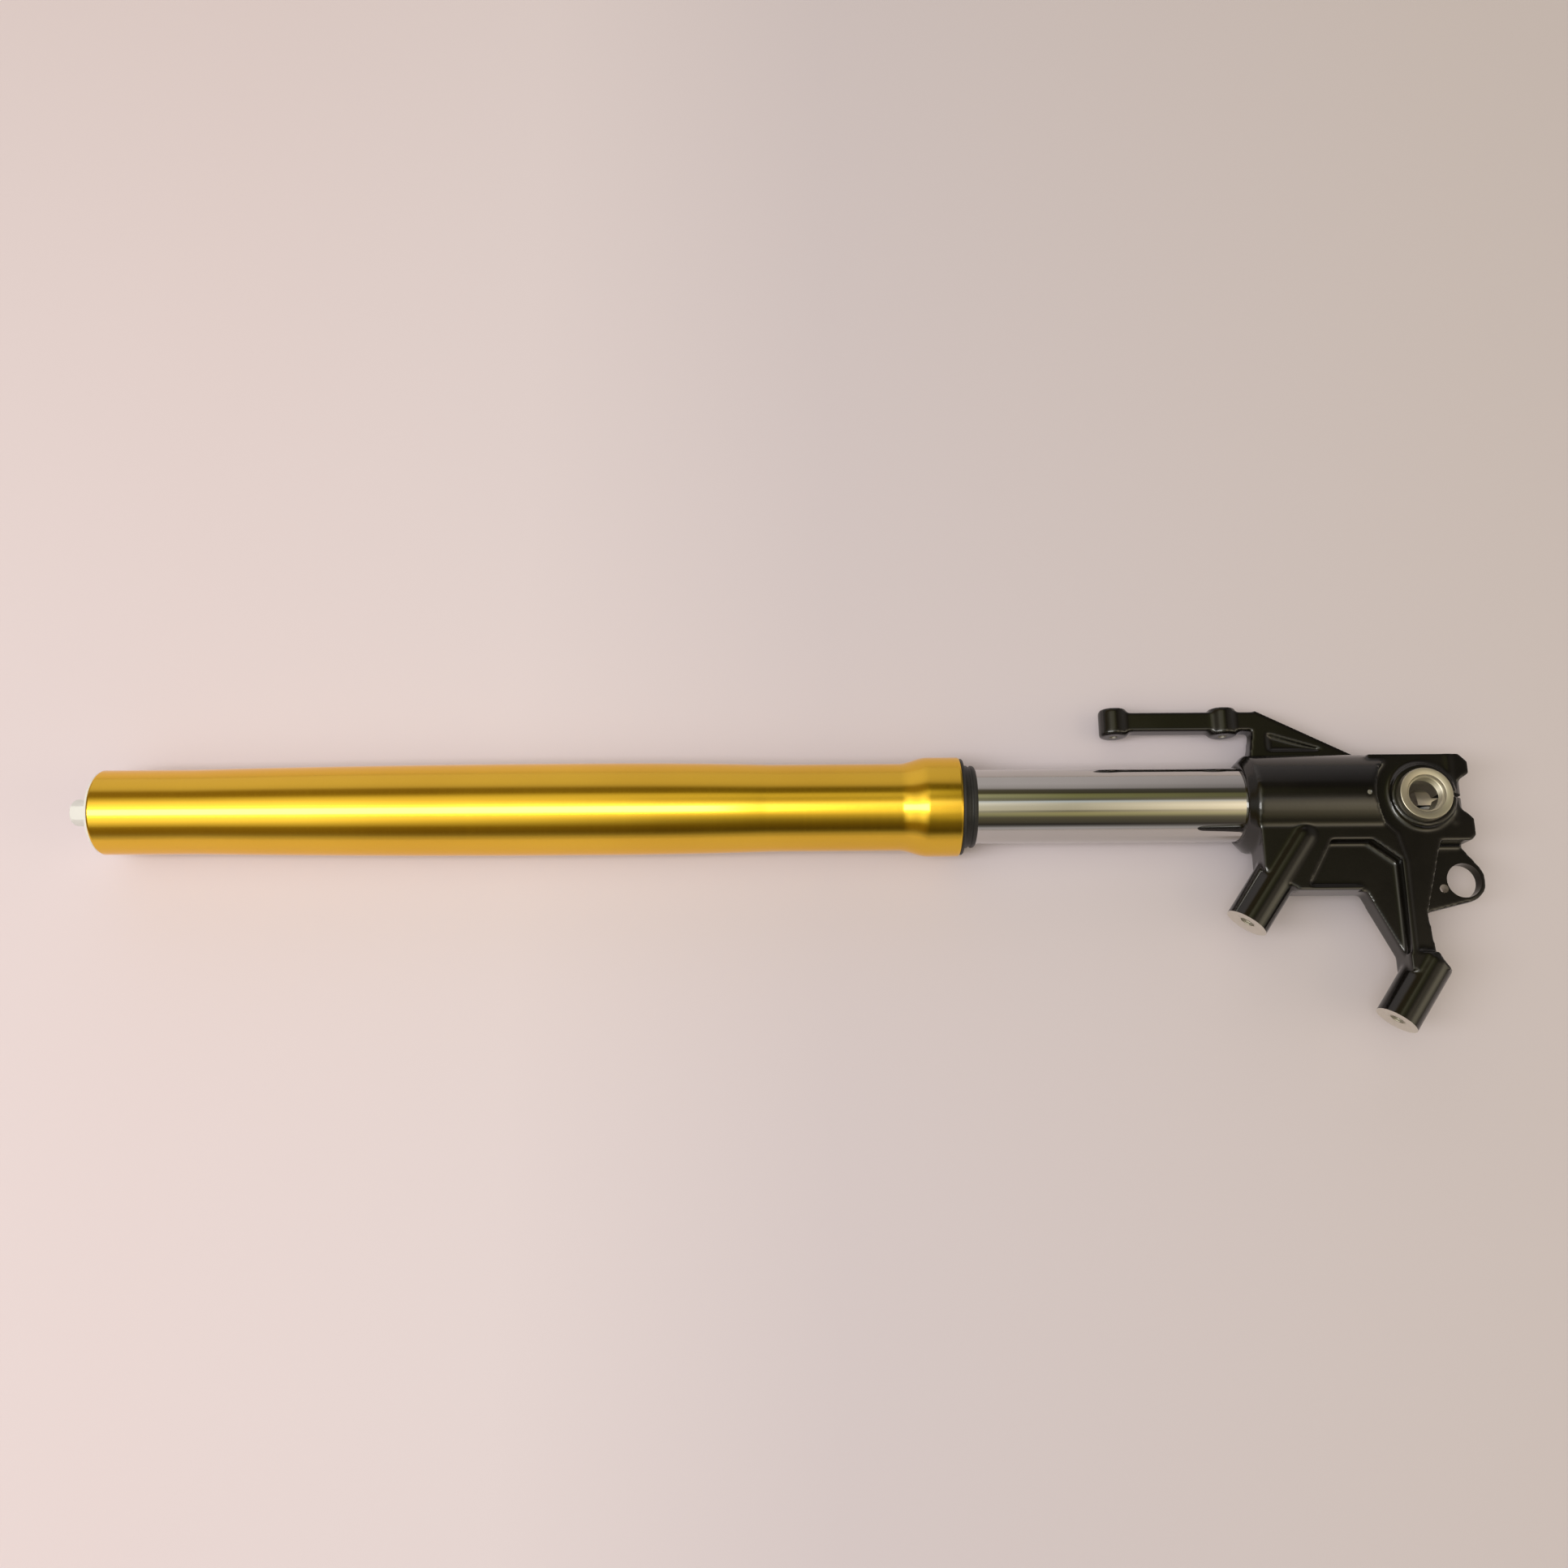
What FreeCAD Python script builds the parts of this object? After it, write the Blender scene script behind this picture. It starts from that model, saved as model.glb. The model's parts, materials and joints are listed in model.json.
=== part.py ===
import FreeCAD, Part
import os
import re

import Sketcher

# Telescopic front fork leg of a motorcycle, upside-down type: the wide tube is at the top, and the
# polished inner tube slides into it. The leg lies along X. The axle centre is the origin, with the
# axle along Z, the cap at -X, the mudguard arm at +Y and the brake caliper posts at -Y.

doc = FreeCAD.newDocument("front_fork_leg")
sheet = doc.addObject("Spreadsheet::Sheet", "Sizes")

SIZES = {
    # Whole leg, measured from the axle centre
    "axle_to_tube_end": 274.4,
    "outer_tube_length": 519.2,
    "axle_to_casting_top": 105.5,
    # Outer tube
    "outer_bore_radius": 23.5,
    "upper_clamp_radius": 25.75,
    "upper_clamp_length": 56.6,
    "lower_clamp_radius": 28.0,
    "lower_clamp_offset": 271.6,
    "lower_clamp_length": 32.0,
    "lower_taper_length": 101.0,
    "tube_lower_radius": 26.5,
    "flare_radius": 30.25,
    "flare_length": 19.6,
    "flare_cone_length": 16.0,
    "tube_edge_chamfer": 1.2,
    # Sliding fits and seal stack
    "running_clearance": 0.05,
    "guide_bush_length": 20.0,
    "guide_bush_seat_radius": 24.5,
    "seal_seat_radius": 27.5,
    "seal_seat_depth": 23.6,
    "backup_ring_thickness": 2.0,
    "oil_seal_length": 11.0,
    "seal_ring_gap": 0.4,
    "stopper_ring_wire": 1.8,
    "stopper_groove_depth": 0.8,
    "dust_seal_depth": 7.6,
    "dust_seal_projection": 9.4,
    "dust_seal_radius": 25.0,
    "dust_seal_flange_radius": 29.2,
    "dust_seal_flange_thickness": 1.9,
    "seal_lip_relief": 1.6,
    "garter_wire": 0.9,
    # Inner tube
    "inner_tube_radius": 22.5,
    "inner_tube_wall": 2.25,
    "inner_tube_overlap": 175.6,
    "slide_bush_length": 12.0,
    "slide_bush_seat_depth": 0.6,
    "slide_bush_edge": 1.5,
    # Top cap and adjusters
    "cap_flange_radius": 24.9,
    "cap_flange_thickness": 1.4,
    "cap_plug_length": 16.0,
    "cap_cage_radius": 13.0,
    "cap_cage_length": 36.0,
    "cap_window_width": 9.6,
    "cap_window_length": 23.6,
    "cap_window_inset": 2.0,
    "cap_seal_wire": 1.3,
    "cap_seal_offset": 12.5,
    "adjuster_shank_radius": 7.5,
    "adjuster_hex_flats": 14.0,
    "adjuster_hex_length": 11.0,
    "adjuster_projection": 17.2,
    "hex_recess_radius": 8.9,
    "hex_recess_depth": 6.0,
    "preload_travel": 10.0,
    "plate_thickness": 6.0,
    "plate_side_clearance": 0.2,
    "adjuster_drop": 21.0,
    "rebound_screw_radius": 3.0,
    "rebound_screw_length": 11.4,
    "rebound_screw_sink": 0.8,
    "rebound_slot_width": 1.2,
    "rebound_slot_depth": 1.6,
    "push_rod_radius": 2.0,
    # Spring train
    "spacer_radius": 18.5,
    "spacer_wall": 3.0,
    "spacer_length": 48.0,
    "seat_washer_thickness": 2.0,
    "seat_bore_clearance": 0.6,
    "spring_radius": 18.0,
    "spring_wire": 4.8,
    "spring_turns": 20.0,
    # Damper
    "rod_radius": 6.0,
    "rod_bore_radius": 2.6,
    "rod_spigot_radius": 4.0,
    "lock_nut_flats": 17.0,
    "lock_nut_length": 7.0,
    "cartridge_radius": 13.0,
    "cartridge_wall": 1.5,
    "head_above_tube": 20.4,
    "head_flange_thickness": 2.0,
    "head_plug_length": 12.6,
    "lower_seat_thickness": 3.0,
    "top_out_length": 15.0,
    "top_out_wire": 2.0,
    "top_out_turns": 3.5,
    "piston_length": 8.0,
    "piston_ring_width": 4.0,
    "piston_ring_depth": 1.2,
    "piston_nut_length": 5.0,
    "piston_nut_flats": 12.0,
    "foot_flange_thickness": 6.0,
    "foot_side_clearance": 0.35,
    "foot_plug_length": 23.0,
    "base_valve_length": 12.0,
    "base_valve_bore": 2.5,
    "bottom_bolt_radius": 5.0,
    "bottom_bolt_engagement": 22.0,
    "bottom_bolt_head_radius": 8.0,
    "bottom_bolt_head_length": 8.0,
    "bottom_bolt_key_flats": 8.0,
    "bottom_bolt_key_depth": 5.0,
    "bolt_washer_thickness": 1.5,
    "bolt_washer_radius": 8.5,
    "bolt_hole_clearance": 0.3,
    # Axle casting: body and axle block
    "casting_body_radius": 30.0,
    "casting_collar_chamfer": 5.5,
    "socket_floor_offset": 31.0,
    "socket_wall": 6.0,
    "key_hole_radius": 8.8,
    "casting_seal_offset": 8.0,
    "casting_seal_wire": 1.0,
    "axle_bore_radius": 10.0,
    "axle_boss_radius": 19.5,
    "axle_boss_top": 22.5,
    "axle_face_bottom": 30.5,
    "collar_radius": 16.1,
    "collar_top": 26.0,
    "collar_floor": 0.6,
    "spot_face_radius": 30.4,
    "block_top": 20.0,
    "jaw_bottom": 6.0,
    "block_bottom": 28.0,
    "block_front": 26.0,
    "block_rear": 27.0,
    "lower_block_front": 24.0,
    "lower_block_rear": 18.0,
    "lower_block_end": 25.0,
    "jaw_end": 29.0,
    "notch_floor": 21.0,
    "front_jaw_inner": 8.6,
    "rear_jaw_inner": 6.2,
    "jaw_slope": 5.0,
    "jaw_corner": 4.5,
    "clamp_slit_width": 2.4,
    # Pinch bolts
    "pinch_bolt_radius": 4.0,
    "pinch_bolt_offset": 17.6,
    "pinch_bolt_spread": 14.5,
    "pinch_bolt_centre": 1.5,
    "pinch_head_radius": 6.5,
    "pinch_head_length": 8.0,
    "pinch_head_sink": 3.0,
    "pinch_end_wall": 1.0,
    "pinch_key_flats": 6.0,
    "pinch_key_depth": 4.0,
    "lock_screw_radius": 1.4,
    "lock_screw_offset": 4.4,
    # Caliper posts
    "caliper_spacing": 100.0,
    "post_angle": 35.0,
    "post_radius": 12.5,
    "post_level": 13.0,
    "upper_post_end_x": 109.0,
    "upper_post_end_y": 74.8,
    "upper_post_length": 62.0,
    "lower_post_length": 42.0,
    "caliper_thread_radius": 4.35,
    "caliper_thread_depth": 26.0,
    "caliper_thread_chamfer": 1.1,
    # Web between the body and the posts
    "web_bottom": 2.0,
    "web_floor": 16.0,
    "web_top": 24.0,
    "web_edge_y": 57.2,
    "web_edge_from": 80.0,
    "web_edge_to": 37.8,
    "web_collar_edge": 6.5,
    "arm_left_x": 19.7,
    "arm_knee_y": 94.4,
    "arm_foot_y": 104.0,
    "arm_foot_x": 3.0,
    "arm_right_x": 4.6,
    "arm_right_y": 71.0,
    "arm_root_x": 8.0,
    "rim_width": 3.0,
    "pocket_top_y": 27.0,
    "pocket_top_from": 58.0,
    "pocket_top_to": 34.8,
    "pocket_low_from": 73.5,
    "rib_x": 18.2,
    "rib_top_y": 39.6,
    "rib_foot_y": 93.6,
    "rib_width": 3.2,
    # Sensor ear
    "ear_x": 26.8,
    "ear_y": 48.2,
    "ear_radius": 13.2,
    "ear_bore_radius": 10.4,
    "ear_bottom": 5.0,
    "ear_top": 3.0,
    "ear_root_y": 26.8,
    "ear_low_x": 5.8,
    "ear_low_y": 66.9,
    "ear_screw_x": 14.1,
    "ear_screw_y": 53.1,
    "ear_screw_radius": 2.6,
    # Mudguard arm
    "arm_level": 12.0,
    "arm_thickness": 12.0,
    "arm_bar_y": 55.6,
    "arm_bar_width": 12.2,
    "arm_boss_radius": 8.9,
    "arm_boss_length": 17.0,
    "arm_boss_outer_x": 174.0,
    "arm_boss_spacing": 68.0,
    "arm_thread_radius": 2.6,
    "gusset_root_x": 92.5,
    "gusset_top_x": 86.4,
    "gusset_top_y": 62.4,
    "gusset_end_x": 20.0,
    "gusset_end_y": 29.0,
    "gusset_pocket_depth": 1.5,
    "gusset_pocket_margin": 6.0,
}

# Places worked out from the sizes. Every word here is a distance along one axis of the leg.
PLACES = {
    "tube_end": "-axle_to_tube_end",
    "tube_top": "tube_end - outer_tube_length",
    "casting_top": "-axle_to_casting_top",
    "lower_clamp_from": "tube_top + lower_clamp_offset",
    "lower_clamp_to": "lower_clamp_from + lower_clamp_length",
    "upper_taper_from": "tube_top + upper_clamp_length",
    "taper_end": "lower_clamp_to + lower_taper_length",
    "flare_from": "tube_end - flare_length",
    "cone_from": "flare_from - flare_cone_length",
    "seal_seat_from": "tube_end - seal_seat_depth",
    "guide_bush_from": "seal_seat_from - guide_bush_length",
    "oil_seal_from": "seal_seat_from + backup_ring_thickness",
    "oil_seal_to": "oil_seal_from + oil_seal_length",
    "stopper_from": "oil_seal_to + seal_ring_gap",
    "stopper_to": "stopper_from + stopper_ring_wire",
    "dust_seal_from": "tube_end - dust_seal_depth",
    "dust_seal_to": "tube_end + dust_seal_projection",
    "lip_radius": "inner_tube_radius + running_clearance",
    "inner_bore_radius": "inner_tube_radius - inner_tube_wall",
    "inner_tube_top": "tube_end - inner_tube_overlap",
    "bush_seat_from": "inner_tube_top + slide_bush_edge",
    "bush_seat_to": "bush_seat_from + slide_bush_length",
    "bush_seat_radius": "inner_tube_radius - slide_bush_seat_depth",
    "socket_floor": "-socket_floor_offset",
    "bolt_seat": "socket_floor + socket_wall",
    "cap_face": "tube_top - cap_flange_thickness",
    "plug_end": "tube_top + cap_plug_length",
    "cage_end": "plug_end + cap_cage_length",
    "window_from": "plug_end + cap_window_inset",
    "window_to": "window_from + cap_window_length",
    "adjuster_end": "cap_face - adjuster_projection",
    "adjuster_foot": "tube_top + adjuster_drop",
    "adjuster_bore": "adjuster_shank_radius + running_clearance",
    "plate_to": "adjuster_foot + plate_thickness",
    "cage_clear_radius": "cap_cage_radius + seat_bore_clearance",
    "spacer_from": "plate_to + seat_washer_thickness",
    "spacer_to": "spacer_from + spacer_length",
    "spring_from": "spacer_to + seat_washer_thickness",
    "cartridge_top": "inner_tube_top + head_above_tube",
    "spring_to": "cartridge_top - lower_seat_thickness",
    "head_plug_from": "cartridge_top + head_flange_thickness",
    "head_end": "head_plug_from + head_plug_length",
    "piston_from": "head_end + top_out_length",
    "piston_to": "piston_from + piston_length",
    "cartridge_bore": "cartridge_radius - cartridge_wall",
    "piston_radius": "cartridge_bore - running_clearance",
    "piston_nut_to": "piston_to + piston_nut_length",
    "foot_from": "socket_floor - foot_flange_thickness",
    "foot_plug_from": "foot_from - foot_plug_length",
    "base_valve_from": "foot_plug_from - base_valve_length",
    "bolt_head_from": "bolt_seat + bolt_washer_thickness",
    "bolt_head_to": "bolt_head_from + bottom_bolt_head_length",
    "lower_post_end_x": "-upper_post_end_x + caliper_spacing * cos(post_angle)",
    "lower_post_end_y": "-upper_post_end_y - caliper_spacing * sin(post_angle)",
    "pinch_head_seat": "lower_block_front - pinch_head_sink - pinch_head_length",
    "pinch_bolt_length": "pinch_head_seat + lower_block_rear - pinch_end_wall",
    "collar_seat": "pinch_bolt_spread - pinch_bolt_centre + pinch_bolt_radius + collar_floor",
    "ear_drop": "ear_low_y - ear_y",
    "ear_reach": "ear_x - ear_low_x",
    "ear_tangent_upper": "90 deg - acos(ear_radius / (ear_y - ear_root_y))",
    "ear_low_turn": "acos(ear_radius / sqrt(ear_drop^2 + ear_reach^2))",
    "ear_tangent_lower": "180 deg - atan(ear_drop / ear_reach) - ear_low_turn",
    "arm_boss_inner_x": "-arm_boss_outer_x + arm_boss_spacing",
    "arm_low": "-arm_level - arm_thickness / 2",
    "arm_high": "-arm_level + arm_thickness / 2",
}


def fill_sheet():
    """Writes each driving size into the sheet with its name and its alias."""
    for row, (name, number) in enumerate(SIZES.items(), start=1):
        sheet.set("A%d" % row, name)
        sheet.set("B%d" % row, str(number))
        sheet.setAlias("B%d" % row, name)
    doc.recompute()


def formula(text):
    """Turns the words of a size formula into cells of the sheet."""
    def cell(match):
        word = match.group(0)
        if word in PLACES:
            return "(" + formula(PLACES[word]) + ")"
        return "Sizes." + word
    return re.sub(r"[a-z]+(?:_[a-z]+)+", cell, str(text))


def value(text):
    """The number that a size formula gives, in millimetres."""
    return float(sheet.evalExpression(formula(text)))


def bind(item, sizes):
    """Binds properties of one object to size formulas."""
    for name, text in sizes.items():
        item.setExpression(name, formula(text))
    return item


def put_at(item, x="0", y="0", z="0"):
    """Binds the place of one object to size formulas."""
    return bind(item, {"Placement.Base.x": x, "Placement.Base.y": y, "Placement.Base.z": z})


def closed_outline(sketch, corners):
    """Draws a closed outline through corners given as pairs of size formulas.

    A corner with a third formula starts an arc of that radius, bowed outwards, to the next corner.
    """
    spots = [FreeCAD.Vector(value(corner[0]), value(corner[1]), 0) for corner in corners]
    ends = []
    for index, corner in enumerate(corners):
        here = spots[index]
        there = spots[(index + 1) % len(spots)]
        if len(corner) == 3:
            radius = value(corner[2])
            half = (there - here) * 0.5
            rise = radius - (radius ** 2 - half.Length ** 2) ** 0.5
            outwards = FreeCAD.Vector(-half.y, half.x, 0).normalize()
            edge = Part.Arc(there, here + half + outwards * rise, here)
            ends.append((2, 1))
        else:
            edge = Part.LineSegment(here, there)
            ends.append((1, 2))
        sketch.addGeometry(edge, False)
    for index, corner in enumerate(corners):
        following = (index + 1) % len(corners)
        join = (index, ends[index][1], following, ends[following][0])
        sketch.addConstraint(Sketcher.Constraint("Coincident", *join))
    for index, corner in enumerate(corners):
        start = ends[index][0]
        across = Sketcher.Constraint("DistanceX", index, start, spots[index].x)
        bind(sketch, {"Constraints[%d]" % sketch.addConstraint(across): corner[0]})
        along = Sketcher.Constraint("DistanceY", index, start, spots[index].y)
        bind(sketch, {"Constraints[%d]" % sketch.addConstraint(along): corner[1]})
        if len(corner) == 3:
            bow = Sketcher.Constraint("Radius", index, value(corner[2]))
            bind(sketch, {"Constraints[%d]" % sketch.addConstraint(bow): corner[2]})


def body_with_sketch(label, fill):
    """A body that holds one sketch on its own XY plane."""
    body = doc.addObject("PartDesign::Body", label)
    body.Label = label
    plane = [item for item in body.Origin.OriginFeatures if item.Role == "XY_Plane"][0]
    sketch = body.newObject("Sketcher::SketchObject", label + "_profile")
    sketch.AttachmentSupport = [(plane, "")]
    sketch.MapMode = "FlatFace"
    fill(sketch)
    return body, sketch


def turned(label, corners):
    """A piece turned about the leg's axis from a half section of X and radius corners."""
    body, sketch = body_with_sketch(label, lambda sketch: closed_outline(sketch, corners))
    turn = body.newObject("PartDesign::Revolution", label + "_turn")
    turn.Profile = sketch
    turn.ReferenceAxis = (sketch, ["H_Axis"])
    turn.Angle = 360
    sketch.Visibility = False
    return body


def sleeve(label, start, end, inner, outer):
    """A plain ring or tube about the leg's axis."""
    return turned(label, [(start, inner), (start, outer), (end, outer), (end, inner)])


def coil(label, start, end, outer, wire, turns):
    """A helical spring between two seats, wound about the leg's axis."""
    def wire_section(sketch):
        mean = "%s - %s / 2" % (outer, wire)
        first = "%s + %s / 2" % (start, wire)
        centre = FreeCAD.Vector(value(first), value(mean), 0)
        circle = Part.Circle(centre, FreeCAD.Vector(0, 0, 1), value(wire) / 2)
        sketch.addGeometry(circle, False)
        limits = [("DistanceX", first), ("DistanceY", mean)]
        for kind, text in limits:
            limit = Sketcher.Constraint(kind, 0, 3, value(text))
            bind(sketch, {"Constraints[%d]" % sketch.addConstraint(limit): text})
        size = Sketcher.Constraint("Radius", 0, value(wire) / 2)
        bind(sketch, {"Constraints[%d]" % sketch.addConstraint(size): wire + " / 2"})

    body, sketch = body_with_sketch(label, wire_section)
    helix = body.newObject("PartDesign::AdditiveHelix", label + "_helix")
    helix.Profile = sketch
    helix.ReferenceAxis = (sketch, ["H_Axis"])
    helix.Mode = "height-turns-angle"
    span = "%s - (%s) - %s" % (end, start, wire)
    bind(helix, {"Height": span, "Turns": turns})
    sketch.Visibility = False
    return body


TURN_TO = {
    "X": FreeCAD.Rotation(FreeCAD.Vector(0, 1, 0), 90),
    "Y": FreeCAD.Rotation(FreeCAD.Vector(1, 0, 0), -90),
    "Z": FreeCAD.Rotation(),
}


def cylinder(axis, radius, length, x="0", y="0", z="0"):
    """A cylinder that starts at a point and runs along one axis."""
    item = doc.addObject("Part::Cylinder", "cylinder")
    item.Placement = FreeCAD.Placement(FreeCAD.Vector(), TURN_TO[axis])
    bind(item, {"Radius": radius, "Height": length})
    return put_at(item, x, y, z)


def cone(axis, radius_from, radius_to, length, x="0", y="0", z="0"):
    """A cone that starts at a point and runs along one axis."""
    item = doc.addObject("Part::Cone", "cone")
    item.Placement = FreeCAD.Placement(FreeCAD.Vector(), TURN_TO[axis])
    bind(item, {"Radius1": radius_from, "Radius2": radius_to, "Height": length})
    return put_at(item, x, y, z)


def hexagon(axis, flats, length, x="0", y="0", z="0", turn=0):
    """A hexagonal prism given by its width across flats, turned about its own axis by some degrees."""
    item = doc.addObject("Part::Prism", "hexagon")
    own_turn = FreeCAD.Rotation(FreeCAD.Vector(0, 0, 1), turn)
    item.Placement = FreeCAD.Placement(FreeCAD.Vector(), TURN_TO[axis].multiply(own_turn))
    item.Polygon = 6
    bind(item, {"Circumradius": flats + " / 2 / cos(30)", "Height": length})
    return put_at(item, x, y, z)


def ring(label, x, centre_radius, wire):
    """A ring of round section about the leg's axis."""
    item = doc.addObject("Part::Torus", label)
    item.Label = label
    item.Placement = FreeCAD.Placement(FreeCAD.Vector(), TURN_TO["X"])
    bind(item, {"Radius1": centre_radius, "Radius2": wire})
    return put_at(item, x)


def box(x_from, x_to, y_from, y_to, z_from, z_to):
    """A box between two corners."""
    item = doc.addObject("Part::Box", "box")
    bind(item, {
        "Length": "%s - (%s)" % (x_to, x_from),
        "Width": "%s - (%s)" % (y_to, y_from),
        "Height": "%s - (%s)" % (z_to, z_from),
    })
    return put_at(item, x_from, y_from, z_from)


def prism(corners, z_from, z_to):
    """An upright prism on an outline of X and Y corners."""
    sketch = doc.addObject("Sketcher::SketchObject", "outline")
    closed_outline(sketch, corners)
    put_at(sketch, "0", "0", z_from)
    item = doc.addObject("Part::Extrusion", "prism")
    item.Base = sketch
    item.DirMode = "Custom"
    item.Dir = FreeCAD.Vector(0, 0, 1)
    item.Solid = True
    bind(item, {"LengthFwd": "%s - (%s)" % (z_to, z_from)})
    return item


def fuse(label, items):
    """One solid made of several."""
    item = doc.addObject("Part::MultiFuse", label)
    item.Label = label
    item.Shapes = items
    return item


def cut(label, base, tools):
    """A solid with one or more solids taken out of it."""
    item = doc.addObject("Part::Cut", label)
    item.Label = label
    item.Base = base
    item.Tool = tools[0] if len(tools) == 1 else fuse(label + "_tools", tools)
    return item


def group(label, items):
    """Separate solids that share one node."""
    item = doc.addObject("Part::Compound", label)
    item.Label = label
    item.Links = items
    return item


def make_outer_tube():
    """The anodised tube: two clamp zones, a long swell between them and a flared seal housing."""
    upper_bow = "((lower_clamp_from - upper_taper_from)^2 + (lower_clamp_radius - upper_clamp_radius)^2)"
    upper_bow += " / (2 * (lower_clamp_radius - upper_clamp_radius))"
    lower_bow = "(lower_taper_length^2 + (lower_clamp_radius - tube_lower_radius)^2)"
    lower_bow += " / (2 * (lower_clamp_radius - tube_lower_radius))"
    groove = "seal_seat_radius + stopper_groove_depth"
    return turned("outer_tube", [
        ("tube_top", "outer_bore_radius"),
        ("tube_top", "upper_clamp_radius - tube_edge_chamfer"),
        ("tube_top + tube_edge_chamfer", "upper_clamp_radius"),
        ("upper_taper_from", "upper_clamp_radius", upper_bow),
        ("lower_clamp_from", "lower_clamp_radius"),
        ("lower_clamp_to", "lower_clamp_radius", lower_bow),
        ("taper_end", "tube_lower_radius"),
        ("cone_from", "tube_lower_radius"),
        ("flare_from", "flare_radius"),
        ("tube_end - tube_edge_chamfer", "flare_radius"),
        ("tube_end", "flare_radius - tube_edge_chamfer"),
        ("tube_end", "seal_seat_radius"),
        ("stopper_to", "seal_seat_radius"),
        ("stopper_to", groove),
        ("stopper_from", groove),
        ("stopper_from", "seal_seat_radius"),
        ("seal_seat_from", "seal_seat_radius"),
        ("seal_seat_from", "guide_bush_seat_radius"),
        ("guide_bush_from", "guide_bush_seat_radius"),
        ("guide_bush_from", "outer_bore_radius"),
    ])


def make_cap():
    """The screwed top cap: a flange, a plug and a cage with two windows that holds the rod."""
    groove_floor = "outer_bore_radius - 2 * cap_seal_wire"
    groove_from = "tube_top + cap_seal_offset - cap_seal_wire"
    groove_to = "tube_top + cap_seal_offset + cap_seal_wire"
    blank = turned("cap_blank", [
        ("cap_face", "hex_recess_radius"),
        ("cap_face", "cap_flange_radius - tube_edge_chamfer"),
        ("cap_face + tube_edge_chamfer", "cap_flange_radius"),
        ("tube_top", "cap_flange_radius"),
        ("tube_top", "outer_bore_radius"),
        (groove_from, "outer_bore_radius"),
        (groove_from, groove_floor),
        (groove_to, groove_floor),
        (groove_to, "outer_bore_radius"),
        ("plug_end", "outer_bore_radius"),
        ("plug_end", "cap_cage_radius"),
        ("cage_end", "cap_cage_radius"),
        ("cage_end", "rod_radius"),
        ("window_to", "rod_radius"),
        ("window_to", "adjuster_bore"),
        ("cap_face + hex_recess_depth", "adjuster_bore"),
        ("cap_face + hex_recess_depth", "hex_recess_radius"),
    ])
    window = box("window_from", "window_to", "-spacer_radius", "spacer_radius",
                 "-cap_window_width / 2", "cap_window_width / 2")
    cut("fork_cap", blank, [window])
    ring("cap_seal_ring", "tube_top + cap_seal_offset", "outer_bore_radius - cap_seal_wire", "cap_seal_wire")


def make_adjusters():
    """The hexagonal preload bolt, the rebound screw in its centre and the rod that it turns."""
    hexagon_end = hexagon("X", "adjuster_hex_flats", "adjuster_hex_length", "adjuster_end", turn=-16)
    shank_from = "adjuster_end + adjuster_hex_length"
    shank = cylinder("X", "adjuster_shank_radius", "adjuster_foot - (%s)" % shank_from, shank_from)
    rounding = cone("X", "adjuster_hex_flats / 2 - 1", "adjuster_hex_flats / 2 - 1 + adjuster_hex_length",
                    "adjuster_hex_length", "adjuster_end")
    head = doc.addObject("Part::MultiCommon", "adjuster_head")
    head.Shapes = [hexagon_end, rounding]
    bore = cylinder("X", "rebound_screw_radius + running_clearance", "adjuster_foot - adjuster_end",
                    "adjuster_end")
    cut("preload_adjuster", fuse("adjuster_blank", [head, shank]), [bore])

    screw_from = "adjuster_end + rebound_screw_sink"
    screw = cylinder("X", "rebound_screw_radius", "rebound_screw_length", screw_from)
    slot = box(screw_from, screw_from + " + rebound_slot_depth", "-rebound_screw_radius",
               "rebound_screw_radius", "-rebound_slot_width / 2", "rebound_slot_width / 2")
    cut("rebound_adjuster", screw, [slot])
    rod_from = screw_from + " + rebound_screw_length"
    rod = cylinder("X", "push_rod_radius", "head_end - preload_travel - (%s)" % rod_from, rod_from)
    rod.Label = "rebound_push_rod"


def make_spring_train():
    """The pieces that carry the main spring: cross plate, washers, spacer tube and seats."""
    half_width = "(cap_window_width / 2 - plate_side_clearance)"
    plate = box("adjuster_foot", "plate_to", "-spacer_radius", "spacer_radius",
                "-" + half_width, half_width)
    hole = cylinder("X", "rod_bore_radius", "plate_thickness", "adjuster_foot")
    cut("preload_plate", plate, [hole])
    sleeve("spacer_washer", "plate_to", "spacer_from", "cage_clear_radius", "spacer_radius")
    sleeve("preload_spacer", "spacer_from", "spacer_to", "spacer_radius - spacer_wall", "spacer_radius")
    sleeve("upper_spring_seat", "spacer_to", "spring_from", "rod_radius + seat_bore_clearance",
           "spacer_radius")
    coil("main_spring", "spring_from", "spring_to", "spring_radius", "spring_wire", "spring_turns")
    sleeve("lower_spring_seat", "spring_to", "cartridge_top", "rod_radius + seat_bore_clearance",
           "spring_radius")


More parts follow.
